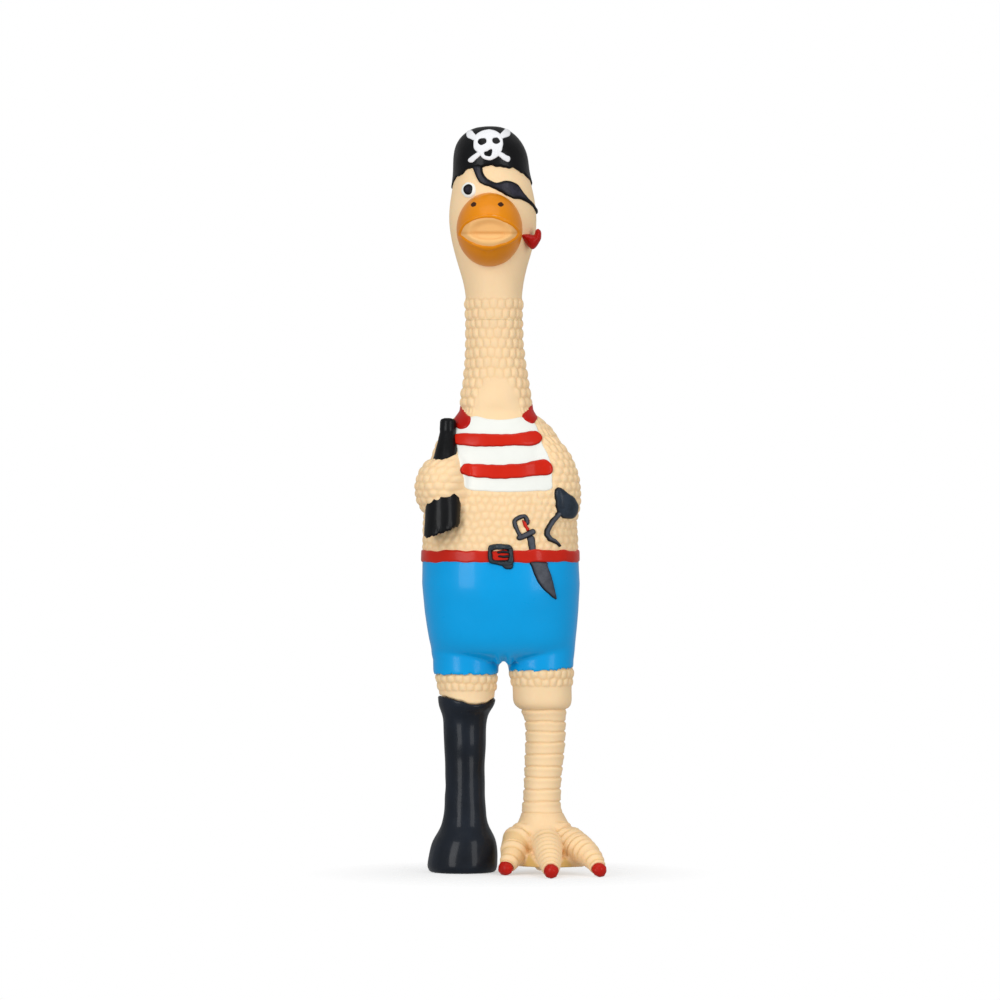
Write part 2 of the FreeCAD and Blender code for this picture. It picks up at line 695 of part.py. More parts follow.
def main():
    os.makedirs("parts", exist_ok=True)
    box = FreeCAD.BoundBox()
    for name, shape in make_all().items():
        if not shape.isValid():
            print("not valid:", name)
        shape.exportStep("parts/" + name + ".step")
        box.add(shape.BoundBox)
        print(name, len(shape.Solids), round(shape.Volume, 1))
    print("box", [round(v, 2) for v in (box.XMin, box.YMin, box.ZMin, box.XMax, box.YMax, box.ZMax)])
    print("middle", round(box.Center.x, 2), round(box.Center.y, 2))


main()
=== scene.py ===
import json
import math

import bmesh
import bpy
import numpy as np
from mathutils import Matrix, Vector, geometry
from mathutils.bvhtree import BVHTree

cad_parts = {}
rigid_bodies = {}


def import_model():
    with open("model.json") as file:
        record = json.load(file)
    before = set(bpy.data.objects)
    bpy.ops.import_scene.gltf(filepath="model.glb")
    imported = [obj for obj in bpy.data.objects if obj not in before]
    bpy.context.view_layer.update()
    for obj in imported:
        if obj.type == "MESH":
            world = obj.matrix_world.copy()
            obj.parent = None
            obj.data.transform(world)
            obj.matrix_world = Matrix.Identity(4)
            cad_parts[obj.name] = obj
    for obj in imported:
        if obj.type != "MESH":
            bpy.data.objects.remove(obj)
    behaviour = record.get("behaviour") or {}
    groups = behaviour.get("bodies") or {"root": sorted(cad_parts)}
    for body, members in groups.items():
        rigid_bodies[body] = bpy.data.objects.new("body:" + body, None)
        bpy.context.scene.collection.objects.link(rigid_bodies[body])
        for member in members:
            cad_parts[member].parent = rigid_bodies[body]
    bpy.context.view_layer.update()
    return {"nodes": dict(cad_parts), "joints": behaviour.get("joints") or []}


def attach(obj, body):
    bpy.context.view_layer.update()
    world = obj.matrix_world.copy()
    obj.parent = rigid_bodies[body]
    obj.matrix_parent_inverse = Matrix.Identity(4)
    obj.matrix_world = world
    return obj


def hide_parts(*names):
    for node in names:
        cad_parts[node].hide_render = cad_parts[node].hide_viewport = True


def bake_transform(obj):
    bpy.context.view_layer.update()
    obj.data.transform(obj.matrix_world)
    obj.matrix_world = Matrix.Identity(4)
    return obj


# A hollow latex pirate chicken, moulded in one skin and painted by hand. The scene is in metres; MM turns
# the millimetres that sizes are written in into metres. Angles round the body are counted from the front,
# positive towards +X.
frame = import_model()
for spare in [o for o in bpy.data.objects if o.name in ("Cube", "Camera", "Light")]:
    bpy.data.objects.remove(spare)
MM = 0.001
TURN = 2 * math.pi
PIVOT = {j["name"]: Vector(j["pos_m"]) for j in frame["joints"]}
AXIS_Y = PIVOT["neck_sway"].y

# Where one skin panel hands over to the next, and heights given for the end of a panel's bend, which finish()
# takes but does not apply.
WAIST = 166.2 * MM
NECK_LOW = 250.0 * MM
NECK_BLEND = 280.0 * MM
HEAD_LOW = 296.0 * MM
HEAD_BLEND = 318.0 * MM
HEAD_TOP = 384.0 * MM
PEBBLES_TOP = 308.5 * MM
THIGH_TOP = 112.5 * MM
HIP_BLEND = (108.0 * MM, 82.0 * MM)
BOOT_TOP = 94.5 * MM
ANKLE_SEAM = 32.0 * MM

# The camera stands level with the toy's middle, far off, so that the toy is hardly foreshortened.
CAMERA = Vector((-5.6 * MM, AXIS_Y - 3.0, 199.7 * MM))
FRAME_WIDTH = 0.5369
SENSOR = 36.0


# ---- numbers --------------------------------------------------------------------------------------

def smoothstep(low, high, x):
    t = np.clip((x - low) / (high - low), 0.0, 1.0)
    return t * t * (3.0 - 2.0 * t)


def eased(low, high, x):
    """A smooth step between two lengths in millimetres, where x is in metres."""
    return smoothstep(low * MM, high * MM, x)


def hump(x, middle, width):
    """1 at the middle, falling off over the width to both sides."""
    return np.exp(-((x - middle) / width) ** 2)


def rows_between(low, high, step):
    return np.linspace(low, high, int(round((high - low) / step)) + 1)


def noise(points, size, seed=0):
    """Smooth noise made of a few sine waves in fixed random directions."""
    waves = np.random.default_rng(seed)
    total = np.zeros(len(points))
    for _ in range(7):
        way = waves.normal(size=3)
        way /= np.linalg.norm(way)
        total += np.sin(points @ way * (TURN / (size * waves.uniform(0.7, 1.5))) + waves.uniform(0, 6.3))
    return total / 4.0


def scatter(a, b, seed):
    """A repeatable random number from 0 to 1 for each pair of whole numbers."""
    x = np.sin(a * 12.9898 + b * 78.233 + seed * 37.719) * 43758.5453
    return x - np.floor(x)


def cells(u, v, count, tall, seed, jitter):
    """A staggered grid of jittered seeds, count to a turn: the distances to the nearest two, and a random
    number for the nearest."""
    row = np.floor(v / tall)
    first = np.full(u.shape, 9.0)
    second = np.full(u.shape, 9.0)
    lot = np.zeros(u.shape)
    for dr in (-1, 0, 1):
        r = row + dr
        shift = 0.5 * (r % 2)
        column = np.floor(u - shift)
        for dc in (-1, 0, 1):
            c = column + dc
            key = c % count
            x = c + 0.5 + shift + (scatter(key, r, seed) - 0.5) * jitter
            y = (r + 0.5 + (scatter(key, r, seed + 1) - 0.5) * jitter) * tall
            d = (np.abs(u - x) ** 2.6 + np.abs((v - y) / tall) ** 2.6) ** (1 / 2.6)
            nearer = d < first
            second = np.where(nearer, first, np.minimum(second, d))
            lot = np.where(nearer, scatter(key, r, seed + 2), lot)
            first = np.where(nearer, d, first)
    return first, second, lot


def pebbles(angle, z, count, tall, seed, jitter=0.3):
    """Rounded pebbles, count to a row and tall millimetres high: 0 in the grooves, 1 on top."""
    first, second, lot = cells(angle / TURN * count, z / MM, count, tall, seed, jitter)
    return np.sqrt(smoothstep(0.0, 0.85, second - first)) * (1.0 - 0.35 * first ** 2) * (0.7 + 0.3 * lot)


# ---- meshes ---------------------------------------------------------------------------------------

def shade_smooth(mesh):
    mesh.polygons.foreach_set("use_smooth", [True] * len(mesh.polygons))


def mesh_object(name, points, faces):
    mesh = bpy.data.meshes.new(name)
    mesh.from_pydata([tuple(p) for p in points], [], [tuple(int(i) for i in f) for f in faces])
    mesh.validate()
    shade_smooth(mesh)
    mesh.update()
    piece = bpy.data.objects.new(name, mesh)
    bpy.context.scene.collection.objects.link(piece)
    return piece


def vectors_of(piece, kind):
    flat = np.empty(len(piece.data.vertices) * 3)
    piece.data.vertices.foreach_get(kind, flat)
    return flat.reshape(-1, 3)


def points_of(piece):
    return vectors_of(piece, "co")


def normals_of(piece):
    return vectors_of(piece, "normal")


def set_points(piece, points):
    piece.data.vertices.foreach_set("co", np.asarray(points, np.float32).ravel())
    piece.data.update()


def store(piece, name, values):
    """Keeps one number per vertex for the material to read."""
    attribute = piece.data.attributes.get(name) or piece.data.attributes.new(name, "FLOAT", "POINT")
    attribute.data.foreach_set("value", np.asarray(values, np.float32))


def gathered(pieces):
    """The points and faces of several pieces together."""
    points, faces = [], []
    for piece in pieces:
        start = len(points)
        points += [v.co.copy() for v in piece.data.vertices]
        faces += [[start + i for i in f.vertices] for f in piece.data.polygons]
    return points, faces


def tree_of(*pieces):
    return BVHTree.FromPolygons(*gathered(pieces))


def nodes(*names):
    return [frame["nodes"][n] for n in names]


def ring_faces(rings, columns):
    """Quads that join each ring of points to the next."""
    around = np.arange(columns)
    faces = []
    for i in range(rings - 1):
        a, b = i * columns + around, i * columns + (around + 1) % columns
        faces += np.stack([a, b, b + columns, a + columns], -1).tolist()
    return faces


def closed_rings(name, rings, low_centre, high_centre):
    """A piece over rings of points, closed by a flat fan at either end."""
    columns = len(rings[0])
    last = (len(rings) - 1) * columns
    low, high = last + columns, last + columns + 1
    faces = ring_faces(len(rings), columns)
    walls = len(faces)
    faces += [(low, (k + 1) % columns, k) for k in range(columns)]
    faces += [(high, last + k, last + (k + 1) % columns) for k in range(columns)]
    piece = mesh_object(name, [*np.concatenate(rings), low_centre, high_centre], faces)
    piece.data.polygons.foreach_set("use_smooth", [True] * walls + [False] * 2 * columns)
    return piece


def joined(name, parts):
    """One piece out of several."""
    with bpy.context.temp_override(active_object=parts[0], selected_editable_objects=parts):
        bpy.ops.object.join()
    parts[0].name = name
    return parts[0]


def softened(name, names, voxel, rounds):
    """A rounded copy of CAD solids, remeshed evenly and relaxed."""
    piece = mesh_object(name, *gathered(nodes(*names)))
    remesh = piece.modifiers.new("even", "REMESH")
    remesh.mode = "VOXEL"
    remesh.voxel_size = voxel
    relax = piece.modifiers.new("relax", "SMOOTH")
    relax.factor = 0.5
    relax.iterations = rounds
    done = bpy.data.meshes.new_from_object(piece.evaluated_get(bpy.context.evaluated_depsgraph_get()))
    piece.modifiers.clear()
    piece.data = done
    shade_smooth(done)
    done.update()
    return piece


def relax_band(piece, low, high, rounds):
    """Smooths a piece between two heights, easing off towards both."""
    p = points_of(piece)
    edges = np.array([e.vertices[:] for e in piece.data.edges])
    weight = smoothstep(low, low + 4 * MM, p[:, 2]) * (1 - smoothstep(high - 8 * MM, high, p[:, 2]))
    count = np.bincount(edges.ravel(), minlength=len(p))[:, None]
    for _ in range(rounds):
        total = np.zeros_like(p)
        np.add.at(total, edges[:, 0], p[edges[:, 1]])
        np.add.at(total, edges[:, 1], p[edges[:, 0]])
        p += 0.6 * weight[:, None] * (total / np.maximum(count, 1) - p)
    set_points(piece, p)


def drop_loose(piece):
    """Deletes the points that no face uses."""
    b = bmesh.new()
    b.from_mesh(piece.data)
    loose = [v for v in b.verts if not v.link_faces]
    if loose:
        bmesh.ops.delete(b, geom=loose, context="VERTS")
        b.to_mesh(piece.data)
    b.free()


# ---- upright bodies ---------------------------------------------------------------------------------

class RoundSurface:
    """An upright surface read by level rays towards an axis, smoothed, as radius over angle and height."""

    REACH = 0.09

    def __init__(self, tree, axis, low, high, step, columns, smoothing):
        self.axis, self.columns = axis, columns
        self.z = rows_between(low, high, step)
        self.angle = np.arange(columns) * TURN / columns
        radius = np.full((len(self.z), columns), np.nan)
        for i, z in enumerate(self.z):
            x = axis(z)
            for j, a in enumerate(self.angle):
                way = Vector((math.sin(a), -math.cos(a), 0.0))
                hit = tree.ray_cast(Vector((x, AXIS_Y, z)) + way * self.REACH, -way, self.REACH)
                if hit[0] is not None:
                    radius[i, j] = self.REACH - hit[3]
        whole = [i for i in range(len(self.z)) if not np.isnan(radius[i]).all()]
        for i in range(len(self.z)):
            if i not in whole:
                radius[i] = radius[min(whole, key=lambda k: abs(k - i))]
            missing = np.isnan(radius[i])
            radius[i, missing] = np.nanmean(radius[i])
        steady = np.median([np.roll(radius, k, 0) for k in (-2, -1, 0, 1, 2)], 0)
        radius[2:-2] = steady[2:-2]
        for _ in range(smoothing):
            radius = (np.roll(radius, 1, 1) + 2 * radius + np.roll(radius, -1, 1)) / 4
            padded = np.vstack([2 * radius[:1] - radius[1:2], radius, 2 * radius[-1:] - radius[-2:-1]])
            radius = (padded[:-2] + 2 * padded[1:-1] + padded[2:]) / 4
        self.radius = radius

    def at(self, angle, z):
        """Radius at any angle and height, by straight interpolation."""
        a = np.mod(angle, TURN) / TURN * self.columns
        j0 = np.floor(a).astype(int) % self.columns
        j1 = (j0 + 1) % self.columns
        fa = a - np.floor(a)
        t = np.clip((z - self.z[0]) / (self.z[-1] - self.z[0]) * (len(self.z) - 1), 0, len(self.z) - 1.001)
        i0 = np.floor(t).astype(int)
        ft = t - i0
        r = self.radius
        low = r[i0, j0] * (1 - fa) + r[i0, j1] * fa
        high = r[i0 + 1, j0] * (1 - fa) + r[i0 + 1, j1] * fa
        return low * (1 - ft) + high * ft

    def point(self, angle, z):
        r = self.at(angle, z)
        return np.stack([self.axis(z) + r * np.sin(angle), AXIS_Y - r * np.cos(angle), z + 0.0 * r], -1)

    def ring(self, z):
        return self.point(self.angle, np.full(self.columns, z))

    def normal(self, angle, z):
        da, dz = 0.02, 0.7 * MM
        along = self.point(angle + da, z) - self.point(angle - da, z)
        up = self.point(angle, z + dz) - self.point(angle, z - dz)
        n = np.cross(along, up)
        return n / np.linalg.norm(n, axis=-1, keepdims=True)


def leaning(heights, places):
    """The axis of an upright part: x at any height, from a few places in millimetres."""
    return lambda z: np.interp(z / MM, heights, places) * MM


def angle_round(axis, p):
    """The angle of points round an upright axis at that x."""
    return np.arctan2(p[:, 0] - axis, AXIS_Y - p[:, 1])


def skin_panel(name, surface, heights, bump, below=(), above=()):
    """A panel of skin over those heights. bump(angle, z) gives its lift and how much painted shade it gets,
    darker in the grooves.
    The rings of points in below and above carry on from its lower and upper edge, and its ends are
    closed inside."""
    angle, z = np.meshgrid(surface.angle, heights)
    lift, painted_shade = bump(angle, z)
    grid = surface.point(angle, z) + surface.normal(angle, z) * lift[..., None]
    rings = [*below, *grid, *above]
    plain = np.zeros(surface.columns)
    # Painted shade for each ring: none on the rings carried on below and above, and the bump's groove darkening
    # in between.
    dark = [plain] * len(below) + list(painted_shade) + [plain] * len(above)
    piece = closed_rings(name, rings, rings[0].mean(0), rings[-1].mean(0))
    store(piece, "painted_shade", np.concatenate([*dark, [0.0, 0.0]]))
    return piece


def sheet_tree(surface, low, high):
    """The plain surface between two heights, as a tree to aim patches at."""
    angle, z = np.meshgrid(surface.angle, rows_between(low, high, 0.8 * MM))
    points = surface.point(angle, z).reshape(-1, 3)
    return BVHTree.FromPolygons([Vector(p) for p in points], ring_faces(*z.shape))


# ---- raised patches -----------------------------------------------------------------------------

def spline(a, b, c, d, t):
    """A point from b to c on a smooth curve through all four."""
    return 0.5 * ((2 * b) + (c - a) * t + (2 * a - 5 * b + 4 * c - d) * t * t
                  + (3 * b - a - 3 * c + d) * t ** 3)


def even_loop(outline, step, rounded=True):
    """The closed outline as evenly spaced points, with its corners rounded by a spline."""
    p = np.array(outline, float)
    if rounded:
        around = [np.roll(p, k, 0) for k in (1, 0, -1, -2)]
        p = np.array([spline(*four, t) for four in zip(*around) for t in np.linspace(0, 1, 12, endpoint=False)])
    closed = np.vstack([p, p[:1]])
    length = np.concatenate([[0], np.cumsum(np.linalg.norm(np.diff(closed, axis=0), axis=1))])
    count = max(12, int(length[-1] / step))
    at = np.linspace(0, length[-1], count, endpoint=False)
    return np.stack([np.interp(at, length, closed[:, k]) for k in (0, 1)], -1)


def across_loop(loop):
    """The unit vector across a loop at each of its points."""
    ahead = np.roll(loop, -1, 0) - np.roll(loop, 1, 0)
    side = np.stack([-ahead[:, 1], ahead[:, 0]], -1)
    return side / np.maximum(np.linalg.norm(side, axis=1, keepdims=True), 1e-12)


def distance_to(points, loops):
    """How far each point lies from the loops."""
    best = np.full(len(points), 1e9)
    for loop in loops:
        for a, b in zip(loop, np.roll(loop, -1, 0)):
            ab = b - a
            t = np.clip(((points - a) @ ab) / max(ab @ ab, 1e-18), 0, 1)
            best = np.minimum(best, np.linalg.norm(points - a - t[:, None] * ab, axis=1))
    return best


def inside(points, loops):
    """Whether each point lies inside the loops, holes counted out."""
    found = np.zeros(len(points), bool)
    x, y = points[:, 0], points[:, 1]
    for loop in loops:
        for a, b in zip(loop, np.roll(loop, -1, 0)):
            crosses = (a[1] > y) != (b[1] > y)
            slope = np.where(b[1] == a[1], 1e-12, b[1] - a[1])
            found ^= crosses & (x < (b[0] - a[0]) * (y - a[1]) / slope + a[0])
    return found


def flat_patch(loops, step, rings):
    """Points and triangles that fill the loops, with extra rows of points just inside the edge."""
    layers = [np.vstack(loops)]
    for depth in rings:
        for loop in loops:
            for sign in (-1, 1):
                row = loop + across_loop(loop) * depth * sign
                row = row[inside(row, loops)]
                if len(row):
                    layers.append(row[distance_to(row, loops) > depth * 0.85])
    low, high = loops[0].min(0), loops[0].max(0)
    gx, gy = np.meshgrid(np.arange(low[0], high[0], step), np.arange(low[1], high[1], step))
    gx[1::2] += step / 2
    grid = np.stack([gx.ravel(), gy.ravel()], -1)
    grid = grid[inside(grid, loops)]
    if len(grid):
        layers.append(grid[distance_to(grid, loops) > rings[-1] + step * 0.5])
    edges, start = [], 0
    for loop in loops:
        n = len(loop)
        edges += [(start + i, start + (i + 1) % n) for i in range(n)]
        start += n
    made = geometry.delaunay_2d_cdt([Vector(p) for p in np.vstack(layers)], edges, [], 0, 1e-9)
    flat = np.array([tuple(v) for v in made[0]])
    faces = np.array([f for f in made[2] if len(f) == 3])
    a, b, c = (flat[faces[:, k]] for k in range(3))
    clockwise = (b[:, 0] - a[:, 0]) * (c[:, 1] - a[:, 1]) < (b[:, 1] - a[:, 1]) * (c[:, 0] - a[:, 0])
    faces[clockwise] = faces[clockwise][:, ::-1]
    return flat, faces[inside(flat[faces].mean(1), loops)]


def sight(u, v):
    """The way from the camera's place to x = u, z = v in the toy's middle plane."""
    return Vector((u, AXIS_Y, v)) - CAMERA


def front(tree):
    """Aims at a body from the camera's place."""
    return lambda u, v: tree.ray_cast(CAMERA, sight(u, v).normalized())[0]


def level(y):
    """Aims from the camera's place at an upright plane."""
    def aim(u, v):
        way = sight(u, v)
        return CAMERA + way * ((y - CAMERA.y) / way.y)
    return aim


def wrapped(surface, scale):
    """Wraps a patch round a body: u is the angle times scale millimetres, and v is z."""
    def aim(u, v):
        return Vector(surface.point(np.array([u / (scale * MM)]), np.array([v]))[0])
    return aim


def unrolled(edge, scale):
    """Places given as degrees round the body and heights, laid out flat for wrapped()."""
    return [(math.radians(a) * scale, z) for a, z in edge]


def as_seen(points):
    """x and z of points as they line up with the toy's middle plane from the camera's place."""
    scale = (AXIS_Y - CAMERA.y) / (points[..., 1] - CAMERA.y)
    x = CAMERA.x + (points[..., 0] - CAMERA.x) * scale
    z = CAMERA.z + (points[..., 2] - CAMERA.z) * scale
    return np.stack([x, z], -1)


def shaken(loop, wobble, shake):
    """The loop pushed in and out a little, as a hand-painted edge is."""
    n = len(loop)
    turn = np.arange(n) / n * TURN
    total = np.zeros(n)
    for wave in range(3, max(6, n // 8)):
        total += np.sin(turn * wave + shake.uniform(0, 6.3)) * shake.uniform(0, 1) / math.sqrt(wave)
    return loop + across_loop(loop) * (total / max(np.abs(total).max(), 1e-9) * wobble)[:, None]


def relief(name, loops, aim, height, rim, step=0.55, lift=0.0, sink=0.5, wobble=0.12, seed=1, rounded=True,
           profile=None, pillow=False):
    """A raised, round-edged patch on a body, closed underneath, with outlines and sizes in millimetres.
    Its vertices know how far from the edge they lie, for paint that thins there, a painted outline on some
    pieces and painted shade along the rounded edge on others. A pillow bulges to the back as well."""
    height, rim, step, lift, sink, wobble = (size * MM for size in (height, rim, step, lift, sink, wobble))
    shake = np.random.default_rng(seed)
    loops = [shaken(even_loop(np.array(loop) * MM, step * 0.8, rounded), wobble, shake) for loop in loops]
    flat, faces = flat_patch(loops, step, [rim * f for f in (0.12, 0.3, 0.55, 0.85)])
    found = [aim(u, v) for u, v in flat]
    keep = np.array([p is not None for p in found])
    base = np.array([tuple(p) if p is not None else (0, 0, 0) for p in found])
    faces = faces[keep[faces].all(1)]
    sheet = mesh_object(name + "_sheet", base, faces)
    normal = normals_of(sheet)
    bpy.data.objects.remove(sheet)
    depth = distance_to(flat, loops)
    t = np.clip(depth / rim, 0, 1)
    shape = profile(flat) if profile else np.sqrt(np.clip(1 - (1 - t) ** 2, 0, 1))
    top = base + normal * (lift + height * shape)[:, None]
    bottom = base - normal * ((height * shape)[:, None] if pillow else sink)
    n = len(base)
    edges = {e for a, b, c in faces for e in ((a, b), (b, c), (c, a))}
    walls = [(a + n, b + n, b, a) for a, b in sorted(edges) if (b, a) not in edges]
    solid = [tuple(f) for f in faces] + [(c + n, b + n, a + n) for a, b, c in faces] + walls
    piece = mesh_object(name, np.vstack([top, bottom]), solid)
    store(piece, "inset", np.concatenate([depth, np.zeros(n)]) / MM)
    drop_loose(piece)
    return piece


def stroke(path, width):
    """The outline of a round-ended stroke along a path. width is one number or one per point."""
    p = np.array(path, float)
    widths = np.full(len(p), width) if np.isscalar(width) else width
    t = np.linspace(0, len(p) - 1, (len(p) - 1) * 6 + 1)
    dense = []
    for s in t:
        i = min(int(s), len(p) - 2)
        dense.append(spline(p[max(i - 1, 0)], p[i], p[i + 1], p[min(i + 2, len(p) - 1)], s - i))
    dense = np.array(dense)
    wide = np.interp(t, range(len(p)), widths) / 2
    ahead = np.gradient(dense, axis=0)
    ahead /= np.linalg.norm(ahead, axis=1, keepdims=True)
    side = np.stack([-ahead[:, 1], ahead[:, 0]], -1) * wide[:, None]

    def cap(centre, way, r):
        across = np.array([-way[1], way[0]])
        turns = np.linspace(0, math.pi, 8)[1:-1]
        return [centre + r * (across * math.cos(a) + way * math.sin(a)) for a in turns]

    return [*(dense + side), *cap(dense[-1], ahead[-1], wide[-1]),
            *(dense - side)[::-1], *cap(dense[0], -ahead[0], wide[0])]


def oval(cx, cz, rx, rz, turn=0.0, count=20):
    c, s = math.cos(math.radians(turn)), math.sin(math.radians(turn))
    loop = []
    for a in np.arange(count) * TURN / count:
        u, w = rx * math.cos(a), rz * math.sin(a)
        loop.append((cx + u * c - w * s, cz + u * s + w * c))
    return loop


# ---- materials --------------------------------------------------------------------------------


def node_makers(owner):
    """Empties an owner's node tree, and gives its calls for a new node and a new link."""
    owner.use_nodes = True
    tree = owner.node_tree
    tree.nodes.clear()
    return tree.nodes.new, tree.links.new


def linear(colour):
    """A screen colour, 0 to 255, as the linear colour a shader needs."""
    return (*(c / 3294.6 if c <= 10.31 else ((c / 255.0 + 0.055) / 1.055) ** 2.4 for c in colour), 1.0)


def paint(name, colour, shade_colour=None, rim=None, rim_width=0.5, rough=0.45, coat=0.0, coat_rough=0.1,
          patchy=0.08, grain=0.06, grain_size=1400.0, subsurface=0.0, drybrush_and_highlight=None, gloss=0.12):
    """Latex or latex paint. Its third argument is a darker colour painted into grooves and creases as painted
    shade, rim the colour at a patch's edge: a dark painted outline on the patch, steel and buckle paints, and
    painted shade along the rounded edge on the red paint. The argument after subsurface is a paler colour over
    a patch's middle, partly dry-brushing and partly a painted highlight, and gloss its mirror strength under
    the coat."""
    m = bpy.data.materials.new(name)
    new, link = node_makers(m)
    out = new("ShaderNodeOutputMaterial")
    shader = new("ShaderNodeBsdfPrincipled")
    link(shader.outputs[0], out.inputs[0])
    where = new("ShaderNodeTexCoord")

    def noise_node(scale, detail, roughness=0.5):
        n = new("ShaderNodeTexNoise")
        n.inputs["Scale"].default_value = scale
        n.inputs["Detail"].default_value = detail
        n.inputs["Roughness"].default_value = roughness
        link(where.outputs["Object"], n.inputs["Vector"])
        return n.outputs[0]

    def mix(a, b, factor):
        n = new("ShaderNodeMix")
        n.data_type = "RGBA"
        for socket, value in ((n.inputs[6], a), (n.inputs[7], b), (n.inputs[0], factor)):
            if isinstance(value, tuple):
                socket.default_value = value
            else:
                link(value, socket)
        return n.outputs[2]

    def ranged(value, *limits):
        n = new("ShaderNodeMapRange")
        link(value, n.inputs[0])
        for socket, number in zip(n.inputs[1:], limits):
            socket.default_value = number
        return n.outputs[0]

    def times_plus(value, factor, more):
        n = new("ShaderNodeMath")
        n.operation = "MULTIPLY_ADD"
        link(value, n.inputs[0])
        n.inputs[1].default_value = factor
        link(more, n.inputs[2])
        return n.outputs[0]

    def stored(key):
        n = new("ShaderNodeAttribute")
        n.attribute_name = key
        return n.outputs["Fac"]

    base = linear(colour)
    dark = (*(c * (1 - patchy) for c in base[:3]), 1.0)
    light = (*(min(1.0, c * (1 + patchy * 0.6)) for c in base[:3]), 1.0)
    tone = mix(dark, light, ranged(noise_node(45.0, 3.0), 0.35, 0.65, 0.0, 1.0))
    tone = mix(tone, dark, ranged(noise_node(420.0, 4.0, 0.6), 0.56, 0.72, 0.0, 0.5))
    # Painted shade: the shade colour laid into grooves and creases, as much as each vertex's stored shade asks
    # for.
    if shade_colour:
        tone = mix(tone, linear(shade_colour), ranged(stored("painted_shade"), 0.0, 1.0, 0.0, 1.0))
    if rim:
        ragged = times_plus(noise_node(700.0, 3.0), 0.7 * rim_width, stored("inset"))
        # A paler colour streaked over the middle of a patch: partly dry-brushing, partly a painted highlight.
        if drybrush_and_highlight:
            streaks = ranged(noise_node(260.0, 5.0, 0.7), 0.36, 0.58, 0.35, 1.0)
            middle = ranged(ragged, rim_width, rim_width * 2.2, 0.0, 1.0)
            tone = mix(tone, mix(tone, linear(drybrush_and_highlight), streaks), middle)
        # The rim colour near a patch's edge: a dark painted outline on the patch, steel and buckle paints, and
        # painted shade along the rounded edge on the red paint.
        tone = mix(linear(rim), tone, ranged(ragged, rim_width * 0.6, rim_width * 1.6, 0.0, 1.0))
    link(tone, shader.inputs["Base Color"])
    rough_here = ranged(noise_node(130.0, 4.0, 0.6), 0.3, 0.7, rough * 0.85, min(1.0, rough * 1.2))
    link(rough_here, shader.inputs["Roughness"])
    shader.inputs["Specular IOR Level"].default_value = gloss
    shader.inputs["Coat Weight"].default_value = coat
    shader.inputs["Coat Roughness"].default_value = coat_rough
    shader.inputs["IOR"].default_value = 1.5
    if subsurface:
        shader.inputs["Subsurface Weight"].default_value = subsurface
        shader.inputs["Subsurface Radius"].default_value = (1.0, 0.5, 0.25)
        shader.inputs["Subsurface Scale"].default_value = 0.0015
    bump = new("ShaderNodeBump")
    bump.inputs["Strength"].default_value = grain
    bump.inputs["Distance"].default_value = 0.0006
    link(times_plus(noise_node(grain_size, 3.0), 0.35, noise_node(190.0, 2.0)), bump.inputs["Height"])
    link(bump.outputs[0], shader.inputs["Normal"])
    return m


# Painted shade: the skin's second colour is laid darker into the grooves between its pebbles.
SKIN = paint("latex_skin", (249, 217, 172), shade_colour=(232, 190, 134), rough=0.55, coat=0.02,
             coat_rough=0.4, patchy=0.03, grain=0.10, subsurface=0.12, gloss=0.25)
# Painted shade: the foot's second colour is laid darker into its toe grooves and web.
FOOT_SKIN = paint("latex_foot", (248, 213, 166), shade_colour=(220, 182, 110), rough=0.5, coat=0.04,
                  coat_rough=0.35, patchy=0.04, grain=0.10, subsurface=0.12, gloss=0.25)
BLACK = paint("black_paint", (9, 10, 13), rough=0.4, coat=0.14, coat_rough=0.14, patchy=0.4,
              grain=0.4)
NAVY = paint("boot_paint", (20, 27, 37), rough=0.42, coat=0.22, coat_rough=0.13, patchy=0.35,
             grain=0.45)
# The eye patch: a dark painted outline, and a paler middle that is partly dry-brushing, partly a painted
# highlight on the raised patch.
PATCH = paint("patch_paint", (16, 16, 20), rim=(5, 5, 7), drybrush_and_highlight=(48, 47, 60), rim_width=1.1,
              rough=0.42, coat=0.12, coat_rough=0.16, grain=0.25)
WHITE = paint("white_paint", (240, 242, 236), rough=0.5, coat=0.1, coat_rough=0.3,
              patchy=0.03, grain=0.15)
BONE = paint("emblem_paint", (236, 237, 240), rough=0.5, coat=0.1, coat_rough=0.3,
             patchy=0.04, grain=0.2)
# Red paint: its darker rim is painted shade along the rounded edges of the stripes and the grip.
RED = paint("red_paint", (210, 34, 10), rim=(158, 16, 6), rim_width=0.45, rough=0.36, coat=0.16,
            coat_rough=0.14, patchy=0.10, grain=0.2)
BELT_RED = paint("belt_paint", (198, 32, 14), rough=0.34, coat=0.18, coat_rough=0.14,
                 patchy=0.12, grain=0.2)
DARK_RED = paint("strap_paint", (184, 18, 8), rough=0.38, coat=0.12, coat_rough=0.16,
                 patchy=0.12, grain=0.2)
CLAW_RED = paint("claw_paint", (190, 26, 14), rough=0.42, coat=0.12, coat_rough=0.2, patchy=0.3,
                 grain=0.9, grain_size=900.0)
BLUE = paint("blue_paint", (0, 160, 229), rough=0.32, coat=0.16, patchy=0.03, grain=0.08)
# Painted shade: the bill's second colour is a darker one for grooves.
ORANGE = paint("bill_paint", (226, 136, 0), rough=0.36, coat=0.18, coat_rough=0.14,
               grain=0.15, shade_colour=(150, 76, 2))
